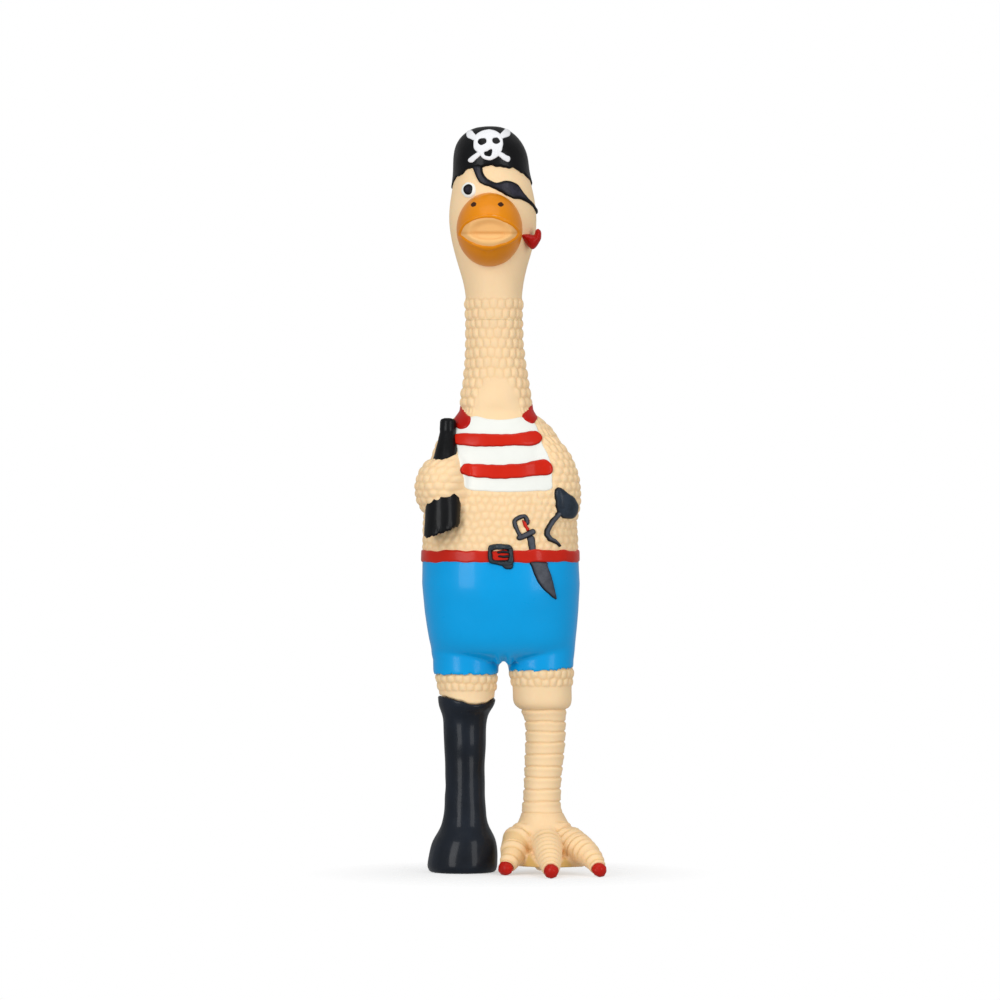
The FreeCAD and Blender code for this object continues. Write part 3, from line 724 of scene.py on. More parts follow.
# Painted shade: the mouth's second colour darkens its crease and the roof of the mouth.
MOUTH = paint("mouth_paint", (244, 192, 126), shade_colour=(214, 150, 78), coat=0.08, coat_rough=0.25,
              patchy=0.05, grain=0.2)
STEEL = paint("steel_paint", (50, 54, 64), rim=(10, 11, 14), drybrush_and_highlight=(76, 79, 88),
              rim_width=0.6, rough=0.42, coat=0.1, coat_rough=0.2, grain=0.2)
CUP = paint("hook_cup_paint", (30, 37, 46), rim=(8, 9, 12), drybrush_and_highlight=(44, 54, 66),
            rim_width=0.7, rough=0.36, coat=0.15, coat_rough=0.16, grain=0.2)
# The buckle: a dark painted outline, and a paler middle that is a painted highlight.
BUCKLE = paint("buckle_paint", (24, 31, 37), rim=(8, 10, 12), drybrush_and_highlight=(52, 62, 70), rough=0.34,
               coat=0.18, coat_rough=0.14, grain=0.2)
NOSTRIL = paint("nostril_paint", (60, 30, 10), rough=0.5, grain=0.2)
PLASTIC = paint("squeaker_plastic", (232, 232, 226), rough=0.4, coat=0.1, patchy=0.05, grain=0.1)


def finish(piece, material, rides, *stands_for):
    piece.data.materials.clear()
    piece.data.materials.append(material)
    if isinstance(rides, str):
        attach(piece, rides)
    else:
        body_a, body_b, start, end = rides
        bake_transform(piece)
        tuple(start)
        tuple(end)
    if stands_for:
        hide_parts(*stands_for)
    return piece


# ---- camera, light and floor ------------------------------------------------------------------

LIGHT_AIM = Vector((0, 0, 0.2))
LIGHTS = (("key_left", (-1.05, -1.55, 0.55), (0.75, 1.6), 17.0),
          ("key_right", (1.15, -1.45, 0.5), (0.7, 1.6), 12.0),
          ("top", (0.0, -0.3, 1.5), (1.0, 1.0), 4.5))


def make_camera():
    """Level with the toy's middle, like a product shot."""
    camera = bpy.data.objects.new("camera", bpy.data.cameras.new("camera"))
    bpy.context.scene.collection.objects.link(camera)
    camera.location = CAMERA
    camera.rotation_euler = (math.radians(90), 0, 0)
    camera.data.sensor_width = SENSOR
    camera.data.lens = SENSOR * (AXIS_Y - CAMERA.y) / FRAME_WIDTH
    bpy.context.scene.camera = camera


def make_light(name, place, size, power):
    data = bpy.data.lights.new(name, "AREA")
    data.shape = "RECTANGLE"
    data.size, data.size_y = size
    data.energy = power
    lamp = bpy.data.objects.new(name, data)
    lamp.location = place
    lamp.rotation_euler = (LIGHT_AIM - Vector(place)).to_track_quat("-Z", "Y").to_euler()
    bpy.context.scene.collection.objects.link(lamp)


def make_studio():
    """Three soft lights, and a white world that the camera sees brighter than it shines."""
    for light in LIGHTS:
        make_light(*light)
    world = bpy.data.worlds.new("studio")
    bpy.context.scene.world = world
    new, link = node_makers(world)
    out, mixer, path = new("ShaderNodeOutputWorld"), new("ShaderNodeMixShader"), new("ShaderNodeLightPath")
    seen, felt = new("ShaderNodeBackground"), new("ShaderNodeBackground")
    for background, strength in ((seen, 1.0), (felt, 0.42)):
        background.inputs[0].default_value = (1, 1, 1, 1)
        background.inputs[1].default_value = strength
    link(path.outputs["Is Camera Ray"], mixer.inputs[0])
    link(felt.outputs[0], mixer.inputs[1])
    link(seen.outputs[0], mixer.inputs[2])
    link(mixer.outputs[0], out.inputs[0])
    bpy.context.scene.view_settings.view_transform = "Standard"


def make_floor():
    """A pale round floor that fades out away from the toy."""
    count, size = 96, 0.13
    turns = np.arange(count) * TURN / count
    points = [(0, 0, 0)] + [(size * math.cos(a), size * math.sin(a), 0) for a in turns]
    floor = mesh_object("floor", points, [(0, 1 + i, 1 + (i + 1) % count) for i in range(count)])
    m = bpy.data.materials.new("pale_floor")
    new, link = node_makers(m)
    out, mixer = new("ShaderNodeOutputMaterial"), new("ShaderNodeMixShader")
    matt, clear = new("ShaderNodeBsdfDiffuse"), new("ShaderNodeBsdfTransparent")
    matt.inputs[0].default_value = (0.97, 0.97, 0.97, 1)
    where, length, fade = new("ShaderNodeTexCoord"), new("ShaderNodeVectorMath"), new("ShaderNodeMapRange")
    length.operation = "LENGTH"
    link(where.outputs["Object"], length.inputs[0])
    link(length.outputs["Value"], fade.inputs[0])
    for socket, number in zip(fade.inputs[1:], (-0.07, 0.11, 0.0, 1.0)):
        socket.default_value = number
    link(fade.outputs[0], mixer.inputs[0])
    link(matt.outputs[0], mixer.inputs[1])
    link(clear.outputs[0], mixer.inputs[2])
    link(mixer.outputs[0], out.inputs[0])
    floor.data.materials.append(m)


make_camera()
make_studio()
make_floor()


# ---- body skin ----------------------------------------------------------------------------------

# Each wing's centre, with y from the body's axis, its radii, and its lean in degrees.
LEFT_WING = ((-36.6, -18.0, 205.8), (14.0, 17.5, 17.5), 0.0)
LEFT_FOLD = ((-32.5, -20.0, 209.0), (8.0, 15.0, 15.5), 0.0)      # where that wing closes round the bottle
RIGHT_WING = ((18.0, -8.0, 206.0), (19.0, 17.0, 30.0), -8.0)
WINGS = (LEFT_WING, LEFT_FOLD, RIGHT_WING)
SHIRT = [(-29.0, 242.4), (-29.2, 232.0), (-27.7, 221.2), (-25.2, 212.0), (-23.4, 205.8), (-12.0, 204.3),
         (-0.3, 204.1), (12.0, 204.4), (21.6, 205.4), (22.4, 211.0), (22.3, 217.0), (20.3, 223.2),
         (16.6, 231.0), (14.0, 239.0), (9.6, 243.4), (4.9, 244.1), (-0.9, 243.1), (-6.7, 242.8),
         (-12.6, 243.2), (-18.5, 244.6), (-23.0, 243.6)]
NECK_HOLLOW = 246.5 * MM
body_axis = leaning([230, 252, 400], [-5.6, -7.8, -11.4])      # upright in the torso, then leaning


def wing_centre(wing):
    return np.array(wing[0]) * MM + np.array([0, AXIS_Y, 0])


def turned(p, degrees):
    """Points turned about the y axis."""
    c, s = math.cos(math.radians(degrees)), math.sin(math.radians(degrees))
    return np.stack([p[..., 0] * c + p[..., 2] * s, p[..., 1], p[..., 2] * c - p[..., 0] * s], -1)


def wing_ball(wing):
    """A wing's round mass, as a mesh that only serves to be aimed at."""
    bpy.ops.mesh.primitive_uv_sphere_add(segments=72, ring_count=48, radius=1.0)
    ball = bpy.context.object
    set_points(ball, turned(points_of(ball) * np.array(wing[1]) * MM, wing[2]) + wing_centre(wing))
    return ball


def wing_share(points, wing):
    """1 on a wing's surface, falling to 0 just off it."""
    p = turned(points - wing_centre(wing), -wing[2])
    return smoothstep(1.25, 1.02, np.linalg.norm(p / (np.array(wing[1]) * MM), axis=-1))


def read_body():
    """The torso, wings, neck and head as one round surface, with a short hollow above the shoulders."""
    balls = [wing_ball(wing) for wing in WINGS]
    tree = tree_of(*nodes("torso_skin", "neck_skin", "head_skin"), *balls)
    body = RoundSurface(tree, body_axis, 160.0 * MM, 399.0 * MM, 0.5 * MM, 420, 12)
    for ball in balls:
        bpy.data.objects.remove(ball)
    body.radius -= 1.5 * MM * hump(body.z, NECK_HOLLOW, 3.6 * MM)[:, None]
    return body


BODY = read_body()


def body_bump(angle, z):
    """Relief of the whole upper skin: pebbles of a different size on belly, wings, shoulders and neck, and
    bare skin on the head, on the bib at the throat, under the shirt and behind the belt."""
    place = BODY.point(angle, z)
    in_front = np.cos(angle) > 0
    belly = pebbles(angle, z, 50, 4.2, 3, 0.5) ** 1.5
    wing = pebbles(angle, z, 62, 4.1, 5)
    shoulder = pebbles(angle, z, 50, 4.3, 7)
    neck = pebbles(angle, z, 21, 5.3, 9, 0.22)
    share = np.max([wing_share(place, one) for one in WINGS], 0)
    upper = eased(212, 224, z)
    low = (belly * (1 - upper) + shoulder * upper) * (1 - share) + wing * share
    low_height = 0.7 * (1 - share) + 0.95 * share
    high = eased(246, 252, z)
    sides = 0.45 + 0.55 * np.abs(np.sin(angle)) ** 1.5
    shape = low * (1 - high) + neck * high
    height = low_height * (1 - high) + 1.25 * sides * high
    mask = 1 - smoothstep(PEBBLES_TOP - 1.4 * MM, PEBBLES_TOP, z)
    bib = ((place[..., 0] + 7.2 * MM) / (12.5 * MM)) ** 2 + ((z - 245 * MM) / (20 * MM)) ** 2
    mask = mask * np.where(in_front, smoothstep(0.8, 1.25, bib), 1.0)
    flat = as_seen(place).reshape(-1, 2)
    loop = [even_loop(np.array(SHIRT) * MM, 1.5 * MM)]
    gap = distance_to(flat, loop).reshape(z.shape)
    covered = inside(flat, loop).reshape(z.shape) & in_front
    mask = mask * np.where(covered, 0.0, np.where(in_front, eased(0.2, 1.4, gap), 1.0))
    mask = mask * eased(172.5, 174.5, z)
    tuck = 0.7 * eased(173.0, 170.5, z)
    # The second value is painted shade: darker in the grooves between the pebbles.
    return (shape * height * mask - tuck) * MM, smoothstep(0.5, 0.0, shape) * mask * 0.45


def make_body_skin():
    """One panel from the waist to the head, and one over the head."""
    x = body_axis(NECK_LOW)
    rows = [*rows_between(WAIST - 1.5 * MM, NECK_LOW, 0.64 * MM),
            *rows_between(NECK_LOW, HEAD_LOW, 0.48 * MM)[1:]]
    torso = skin_panel("torso_skin_soft", BODY, rows, body_bump)
    finish(torso, SKIN, ("torso", "neck", (x, AXIS_Y, NECK_LOW), (x, AXIS_Y, NECK_BLEND)),
           "torso_skin", "left_wing", "right_wing", "neck_skin")
    head = skin_panel("head_skin_soft", BODY, rows_between(HEAD_LOW, HEAD_TOP, 0.5 * MM), body_bump)
    finish(head, SKIN, ("neck", "head", (x, AXIS_Y, HEAD_LOW), (x, AXIS_Y, HEAD_BLEND)), "head_skin")
    return torso


TORSO_SKIN = make_body_skin()
HEAD_SHEET = sheet_tree(BODY, 330 * MM, 385 * MM)
CHEST_SHEET = sheet_tree(BODY, 196 * MM, 262 * MM)
BELLY_SHEET = sheet_tree(BODY, 166 * MM, 212 * MM)


# ---- hat, emblem, eye and eye patch ----------------------------------------------------------------

HAT_CENTRE = Vector((-10.6 * MM, AXIS_Y, 366.0 * MM))
HAT_REACH = 0.07
# The brim's height at angles in degrees.
BRIM = ((-180, 366.5), (-130, 366.5), (-90, 367.5), (-70, 372.1), (-50, 374.2), (-39, 376.4), (-16, 377.4),
        (0, 377.7), (23, 377.1), (39, 376.7), (62, 374.0), (90, 369.5), (130, 366.5), (180, 366.5))
SKULL = [(-19.8, 391.4), (-18.9, 395.0), (-16.2, 397.4), (-11.6, 398.6), (-7.2, 397.4), (-4.6, 394.4),
         (-4.0, 390.0), (-5.4, 386.0), (-7.6, 383.6), (-10.8, 382.1), (-14.6, 383.0), (-17.0, 385.8),
         (-19.4, 388.0)]
SOCKETS = [oval(-15.2, 392.2, 2.4, 1.8, 15), oval(-7.7, 392.6, 2.1, 1.7, -12),
           [(-10.0, 388.0), (-9.9, 385.8), (-11.2, 384.2), (-13.6, 384.7), (-14.0, 386.4), (-12.2, 387.2)]]
# Each bone's visible end: its path and its width along it.
BONES = [([(-21.6, 396.0), (-20.6, 395.2), (-19.6, 394.4)], [4.4, 3.8, 3.2]),
         ([(-2.1, 396.8), (-3.2, 396.0), (-4.2, 395.4)], [4.3, 3.8, 3.2]),
         ([(-21.2, 382.2), (-19.6, 383.4), (-17.4, 385.2)], [3.0, 2.8, 2.6]),
         ([(-1.6, 382.8), (-3.6, 384.0), (-6.2, 385.8)], [3.2, 2.9, 2.6])]
PATCH_SCALE = 21.0
PATCH_UPPER = [(-15.4, 379.0), (-14.6, 375.4), (-12.1, 372.2), (-7.4, 370.2), (-1.9, 371.2), (3.6, 369.0),
               (6.1, 365.7), (8.4, 362.8)]
PATCH_LOWER = [(8.4, 359.8), (4.8, 361.2), (2.1, 361.3), (-2.3, 363.1), (-6.7, 365.7), (-11.2, 367.8),
               (-15.6, 369.5), (-17.6, 371.8), (-19.2, 375.3), (-20.4, 379.4)]
# The strap from the patch round to the back, as degrees and heights.
PATCH_BEHIND = [(66, 359.8), (90, 356.4), (130, 361.5), (168, 370), (172, 366), (132, 357.0),
                (92, 353.2), (68, 357.0)]


def level_way(turn):
    """The level direction at an angle from the front."""
    return np.array([math.sin(turn), -math.cos(turn), 0.0])


def crown_radius(turns, rises):
    """How far the head's surface lies from the cap's centre in each direction, smoothed."""
    tree = tree_of(*nodes("head_skin"))
    radius = np.empty((len(rises), len(turns)))
    for i, rise in enumerate(rises):
        for j, turn in enumerate(turns):
            way = Vector(level_way(turn) * math.cos(rise) + [0, 0, math.sin(rise)])
            radius[i, j] = HAT_REACH - tree.ray_cast(HAT_CENTRE + way * HAT_REACH, -way)[3]
    for _ in range(10):
        radius = (np.roll(radius, 1, 1) + 2 * radius + np.roll(radius, -1, 1)) / 4
        radius[1:-1] = (radius[:-2] + 2 * radius[1:-1] + radius[2:]) / 4
    radius[-1] = radius[-1].mean()
    return radius


def brim_height(turn):
    """Height of the brim, with the uneven edge of hand-laid paint."""
    degrees = (math.degrees(turn) + 180) % 360 - 180
    ripple = math.sin(9 * turn + 1) + math.sin(17 * turn + 2) + 0.6 * math.sin(31 * turn)
    return (np.interp(degrees, *zip(*BRIM)) + 0.22 * ripple) * MM


def make_hat():
    """A tight cap over the crown of the head, with a rounded, uneven edge."""
    columns, rows = 300, 90
    turns = np.arange(columns) / columns * TURN
    rises = np.linspace(math.radians(-12), math.radians(90), 120)
    radius = crown_radius(turns, rises)
    upward = np.linspace(0, 1, rows) ** 1.15
    points = np.empty((rows, columns, 3))
    for j, turn in enumerate(turns):
        z = HAT_CENTRE.z + radius[:, j] * np.sin(rises)
        start = np.interp(brim_height(turn), z, rises)
        rise = start + (math.radians(90) - start) * upward
        r = np.interp(rise, rises, radius[:, j])
        from_edge = np.clip((rise - start) * r / (0.9 * MM), 0, 1)
        lift = -0.3 + 1.1 * np.sqrt(1 - (1 - from_edge) ** 2) + 1.5 * hump(np.degrees(rise), 48.0, 17.0)
        out = level_way(turn) * np.cos(rise)[:, None] + np.outer(np.sin(rise), [0, 0, 1])
        points[:, j] = np.array(HAT_CENTRE) + out * (r + lift * MM)[:, None]
    flat = points.reshape(-1, 3)
    flat += (flat - np.array(HAT_CENTRE)) * (noise(flat, 0.016, 5) * 0.006)[:, None]
    hat = closed_rings("hat_cloth", points[:-1], points[0].mean(0) + [0, 0, 3 * MM], points[-1].mean(0))
    shade_smooth(hat.data)
    return finish(hat, BLACK, "head", "hat")


def make_emblem(hat):
    """A skull with crossed bones behind it, in thick white paint."""
    aim = front(tree_of(hat))
    parts = [relief("emblem_skull", [SKULL, *SOCKETS], aim, 0.55, 0.9, 0.4, seed=3)]
    for k, (path, width) in enumerate(BONES):
        parts.append(relief(f"emblem_bone_{k}", [stroke(path, width)], aim, 0.5, 0.9, 0.4, seed=7 + k,
                            rounded=False))
    finish(joined("skull_emblem_paint", parts), BONE, "head", "skull_emblem")


def make_eye():
    aim = front(HEAD_SHEET)
    white = relief("eye_white_paint", [oval(-22.4, 366.1, 3.9, 4.2)], aim, 0.9, 2.4, 0.4, wobble=0.15, seed=11)
    finish(white, WHITE, "head", "eye_white")
    pupil = relief("eye_pupil_paint", [oval(-22.3, 366.3, 2.4, 2.9, -8)], aim, 0.5, 1.2, 0.35, lift=0.85,
                   seed=12)
    finish(pupil, PATCH, "head", "eye_pupil")


def make_eye_patch():
    """A leather patch over the far eye, on a strap from under the cap round to the back of the head."""
    aim = front(HEAD_SHEET)

    def round_the_head(x, z):
        place = aim(x * MM, z * MM)
        return math.atan2(place.x - body_axis(place.z), AXIS_Y - place.y) * PATCH_SCALE, place.z / MM

    loop = [round_the_head(*p) for p in PATCH_UPPER] + unrolled(PATCH_BEHIND, PATCH_SCALE)
    loop += [round_the_head(*p) for p in PATCH_LOWER]
    patch = relief("eye_patch_leather", [loop], wrapped(BODY, PATCH_SCALE), 1.1, 1.3, wobble=0.2, seed=21)
    finish(patch, PATCH, "head", "eye_patch")


make_emblem(make_hat())
make_eye()
make_eye_patch()


# ---- bill and pipe --------------------------------------------------------------------------------

MOUTH_EDGE = [(-26.3, 342.6), (-24.5, 346.6), (-20.1, 349.7), (-14.7, 351.0), (-8.5, 350.8), (-2.3, 348.4),
              (1.3, 346.1), (3.5, 343.0), (0.4, 339.5), (-4.1, 337.7), (-10.3, 336.2), (-16.5, 336.8),
              (-21.8, 339.0), (-24.9, 341.2)]
LIP_EDGE = [(-28.0, 342.6), (-25.4, 347.6), (-20.6, 351.2), (-14.9, 352.6), (-8.3, 352.5), (-1.7, 350.1),
            (2.6, 347.2), (5.8, 342.9), (2.4, 338.9), (-2.3, 336.4), (-7.6, 334.8), (-12.1, 333.6),
            (-16.5, 334.8), (-21.2, 336.9), (-25.6, 339.9)]
MOUTH_X = -11.2 * MM
CREASE = 343.0 * MM     # where the roof of the mouth meets its floor
NOSTRILS = ((-19.8, 358.4, 30), (-5.2, 358.4, -10))
PIPE = [(5.6, 342.6), (9.9, 342.4), (12.6, 342.2), (13.4, 344.4), (14.9, 345.2), (16.5, 343.6), (16.5, 340.2),
        (14.6, 336.6), (12.2, 334.3), (10.4, 334.9), (7.6, 338.4), (5.4, 341.0)]
PIPE_AHEAD = 13 * MM


def hull_tree(piece):
    """The piece's convex hull, which closes its mouth, as a tree to aim at."""
    hull = bmesh.new()
    hull.from_mesh(piece.data)
    bmesh.ops.convex_hull(hull, input=hull.verts)
    tree = BVHTree.FromBMesh(hull)
    hull.free()
    return tree


def mouth_depth(flat):
    """A shallow hollow with a rim just proud of the bill, deepest along the crease."""
    tall = np.where(flat[:, 1] > CREASE, 9.0, 4.6) * MM
    off = ((flat[:, 0] - MOUTH_X) / (14.4 * MM)) ** 2 + ((flat[:, 1] - CREASE) / tall) ** 2
    return 0.2 - smoothstep(0.72, 0.25, off) * (2.3 + 0.8 * hump(flat[:, 1], CREASE, 0.8 * MM))


def make_bill():
    """A broad bill that gapes a little, with a lip round its pale mouth."""
    bill = softened("bill_soft", ["upper_beak", "lower_beak"], 0.55 * MM, 5)
    finish(bill, ORANGE, "head", "upper_beak", "lower_beak")
    closed = front(hull_tree(bill))
    mouth = relief("mouth_soft", [LIP_EDGE], closed, 1.0, 1.0, 0.5, sink=5.0, seed=33, profile=mouth_depth)
    # Painted shade: darker along the crease and over the roof of the mouth above it, which the upper bill
    # shades.
    above = (as_seen(points_of(mouth))[:, 1] - CREASE) / MM
    store(mouth, "painted_shade", 0.75 * hump(above, 0, 0.7) + 0.3 * smoothstep(0.0, 1.0, above))
    finish(mouth, MOUTH, "head", "mouth_lining")
    finish(relief("lips", [LIP_EDGE, MOUTH_EDGE], closed, 0.95, 0.8, 0.4, sink=1.5, seed=34), ORANGE, "head")
    aim = front(tree_of(bill))
    parts = [relief(f"nostril_{k}", [oval(x, z, 1.55, 1.2, turn)], aim, 0.12, 0.4, 0.2, sink=0.3, seed=30 + k)
             for k, (x, z, turn) in enumerate(NOSTRILS)]
    finish(joined("nostrils", parts), NOSTRIL, "head")


def make_pipe():
    """A small pipe at the corner of the mouth."""
    pipe = relief("pipe_soft", [PIPE], level(AXIS_Y - PIPE_AHEAD), 4.2, 3.4, 0.45, seed=35, pillow=True)
    finish(pipe, DARK_RED, "head", "pipe")


make_bill()
make_pipe()


# ---- shirt, stripes, straps and bottle ----------------------------------------------------------------

SHIRT_LIFT = 0.6
STRAP_SCALE = 20.0
STRIPES = ([(-31.6, 231.6), (-28.6, 234.9), (-20.0, 235.3), (-5.6, 234.9), (4.0, 235.4), (10.5, 236.4),
            (14.0, 236.2), (17.0, 232.6), (13.4, 229.0), (4.0, 228.7), (-5.6, 228.3), (-14.0, 228.2),
            (-27.4, 229.0)],
           [(-27.2, 215.2), (-26.0, 218.2), (-22.4, 219.0), (-5.6, 218.6), (6.0, 219.2), (14.0, 221.0),
            (19.0, 221.2), (22.2, 218.6), (22.4, 215.0), (19.4, 213.0), (12.0, 212.4), (5.1, 211.4),
            (-7.0, 211.0), (-19.0, 211.8), (-24.6, 212.8)])
STRIPE_WOBBLE = (0.22, 0.30)
# The shoulder straps, as degrees and heights.
STRAPS = ([(-112, 251), (-90, 250), (-70, 248), (-54, 245.4), (-43, 243.4), (-40, 240.6), (-44, 237.8),
           (-52, 237.0), (-60, 238.4), (-72, 241.5), (-92, 244.6), (-114, 246)],
          [(114, 252.5), (92, 251.5), (74, 249.6), (58, 247.4), (46, 245.6), (41, 243.4), (43, 241.4),
           (50, 240.0), (60, 241.6), (72, 243.4), (94, 246.4), (116, 248)])


def make_shirt():
    aim = front(CHEST_SHEET)
    shirt = relief("shirt_paint", [SHIRT], aim, SHIRT_LIFT, 0.9, 0.7, wobble=0.2, seed=41)
    finish(shirt, WHITE, "torso", "shirt")
    stripes = [relief(f"stripe_{k}", [edge], aim, 1.0, 1.5, 0.6, SHIRT_LIFT, 0.9, STRIPE_WOBBLE[k], 42 + k)
               for k, edge in enumerate(STRIPES)]
    finish(joined("shirt_stripes_paint", stripes), RED, "torso", "shirt_stripes")
    around = wrapped(BODY, STRAP_SCALE)
    straps = [relief(f"strap_{k}", [unrolled(edge, STRAP_SCALE)], around, 1.0, 1.8, 0.6, 0.15, 0.9, 0.2, 44 + k)
              for k, edge in enumerate(STRAPS)]
    finish(joined("shirt_straps_paint", straps), DARK_RED, "torso", "shirt_straps")


def make_bottle():
    """A painted bottle whose base slants and frays where the paint stops."""
    bottle = softened("bottle_soft", ["bottle"], 0.5 * MM, 10)
    p = points_of(bottle)
    x, y, z = p.T / MM
    slant = 0.41 * (x + 34.5) + 0.34 * (y - AXIS_Y / MM + 39.0)
    fray = (0.25 * np.sin(x / 0.62) + 0.2 * np.sin(x / 0.29 + 1)) * smoothstep(188, 184, z)
    p[:, 2] += smoothstep(203, 186, z) * (slant + fray) * MM
    set_points(bottle, p + normals_of(bottle) * (0.06 * MM * noise(p, 0.008, 15))[:, None])
    finish(bottle, BLACK, "torso", "bottle")


make_shirt()
make_bottle()


# ---- shorts, belt, buckle, dagger and hook ---------------------------------------------------------------

BELT_LOW, BELT_HIGH = 166.3 * MM, 173.0 * MM
# The shorts' height, left side and right side.
SHORTS_SIDES = ((107.0, -39.3, 33.2), (114.0, -41.6, 33.9), (123.5, -43.8, 35.2), (140.0, -46.2, 36.6),
                (155.0, -47.4, 37.2), (167.0, -47.2, 36.6))
LEG_X = (-23.6, 16.6)
CROTCH_X = -3.6
BETWEEN_LEGS = -3.7
BLADE_X = 14.5 * MM
BUCKLE_OUTER = [(-12.0, 173.6), (-10.6, 175.6), (-6.0, 176.1), (-0.8, 175.7), (1.2, 174.0), (1.6, 170.0),
                (1.9, 166.6), (0.6, 164.6), (-2.4, 164.0), (-8.0, 165.0), (-11.4, 166.2), (-12.2, 169.6)]
BUCKLE_INNER = [(-9.2, 172.6), (-5.0, 173.1), (-1.9, 172.8), (-1.1, 170.6), (-1.2, 168.2), (-2.6, 167.5),
                (-8.8, 167.7), (-9.7, 170.4)]
BUCKLE_BARS = ([(-6.6, 171.5), (-3.4, 171.8), (0.4, 171.4)], [(-6.2, 169.4), (-3.6, 169.3), (0.2, 169.4)])
BELT_TAIL = [(-4.6, 165.4), (-1.2, 165.6), (1.4, 165.2), (1.2, 163.4), (0.0, 162.4), (-2.4, 162.6),
             (-4.4, 164.0)]
GUARD_BOW = [(9.0, 187.4), (8.2, 190.2), (6.6, 190.9), (2.9, 189.2), (2.2, 187.2), (3.6, 183.4), (5.2, 180.2)]
GUARD_CROSS = [(4.9, 179.4), (8.0, 180.6), (11.9, 182.6)]
GRIP = [(6.4, 189.0), (8.2, 188.4), (10.2, 188.6), (9.3, 186.2), (10.0, 184.0), (8.6, 183.0), (7.2, 185.4)]
BLADE_UPPER = [(8.9, 179.4), (12.6, 180.2), (13.6, 173.0), (13.6, 170.0), (11.0, 170.0), (9.4, 176.0)]
BLADE_LOWER = [(10.8, 166.4), (19.2, 166.2), (20.0, 164.0), (22.1, 158.2), (23.8, 151.0), (24.5, 146.2),
               (20.4, 149.2), (15.9, 153.8), (13.2, 158.6), (11.4, 163.4)]
HOOK = [(26.6, 193.2), (22.6, 188.4), (20.3, 184.5), (19.5, 181.2), (21.2, 178.8), (23.8, 177.2), (26.2, 175.2)]
HOOK_WIDTH = [3.0, 3.0, 3.0, 3.0, 2.9, 2.2, 1.3]
HOOK_CUP = [(23.3, 203.6), (24.4, 206.0), (26.6, 206.5), (30.4, 203.8), (34.2, 200.6), (35.9, 196.6),
            (35.2, 192.4), (33.0, 189.9), (29.0, 189.6), (26.0, 191.2), (24.3, 194.2), (23.9, 198.6)]


def straighten_sides(shorts):
    """Shifts the shorts' sides, most at the edge and not at all in the middle, onto SHORTS_SIDES."""
    p = points_of(shorts)
    heights, left, right = zip(*SHORTS_SIDES)
    rows = np.arange(114.0, 166.0, 1.0) * MM
    near = [p[np.abs(p[:, 2] - low) < 1.0 * MM, 0] for low in rows]
    now_left = np.interp(p[:, 2], rows, [x.min() for x in near])
    now_right = np.interp(p[:, 2], rows, [x.max() for x in near])
    middle = (now_left + now_right) / 2
    share = np.clip(np.abs(p[:, 0] - middle) / ((now_right - now_left) / 2), 0, 1) ** 2
    at = np.clip(p[:, 2], rows[0], rows[-1]) / MM
    want_left = np.interp(at, heights, left) * MM
    want_right = np.interp(at, heights, right) * MM
    p[:, 0] += share * np.where(p[:, 0] < middle, want_left - now_left, want_right - now_right)
    set_points(shorts, p)


def make_shorts():
    """Tight shorts whose sides run straight down to uneven hems, round over a narrow crotch."""
    shorts = softened("shorts_soft", ["shorts"], 0.8 * MM, 3)
    straighten_sides(shorts)
    relax_band(shorts, 117 * MM, 152 * MM, 40)
    p = points_of(shorts)
    x, _, z = p.T / MM
    aside = np.abs(x - CROTCH_X)
    peak = smoothstep(0.2, 2.7, aside) * smoothstep(5.5, 3.4, aside)
    p[:, 2] -= 1.7 * MM * peak * smoothstep(109.0, 112.0, z) * smoothstep(119.0, 113.5, z)
    p[:, 2] += 1.3 * MM * eased(162.0, 165.5, p[:, 2])
    bird_side = x > BETWEEN_LEGS
    angle = angle_round(np.where(bird_side, LEG_X[1], LEG_X[0]) * MM, p)
    outer = 1.6 * np.clip(np.sin(angle), 0, 1) - 0.9
    edge = 0.22 * np.sin(11 * angle) + 0.16 * np.sin(19 * angle + 1) + np.where(bird_side, outer, 0.0)
    p[:, 2] += (1 - eased(109.0, 114.0, p[:, 2])) * MM * edge
    set_points(shorts, p)
    return finish(shorts, BLUE, "torso", "shorts")


def belt_bump(angle, z):
    """A strap's rounded section, which bulges where it passes over the blade."""
    place = BODY.point(angle, z)
    over_blade = hump(place[..., 0], BLADE_X, 6.0 * MM) * (np.cos(angle) > 0)
    from_edge = np.clip(np.minimum(z - BELT_LOW, BELT_HIGH - z) / (1.3 * MM), 0, 1)
    rough = noise(place.reshape(-1, 3), 0.01, 3).reshape(z.shape)
    lift = np.sqrt(1 - (1 - from_edge) ** 2) * (1.4 + 1.1 * over_blade) - 0.5 + 0.08 * rough
    return lift * MM, np.zeros(z.shape)


def make_belt():
    """A strap round the waist, with uneven edges."""
    belt = skin_panel("belt_strap", BODY, rows_between(BELT_LOW, BELT_HIGH, 0.42 * MM), belt_bump)
    p = points_of(belt)
    angle = angle_round(body_axis(BELT_LOW), p)
    p[:, 2] += 0.22 * MM * (np.sin(8 * angle + 1) + np.sin(14 * angle) + 0.7 * np.sin(27 * angle))
    p[:, 2] += 0.7 * MM * hump(angle, 0.5, 0.2) * (p[:, 2] > 169 * MM)
    set_points(belt, p)
    return finish(belt, BELT_RED, "torso", "belt")


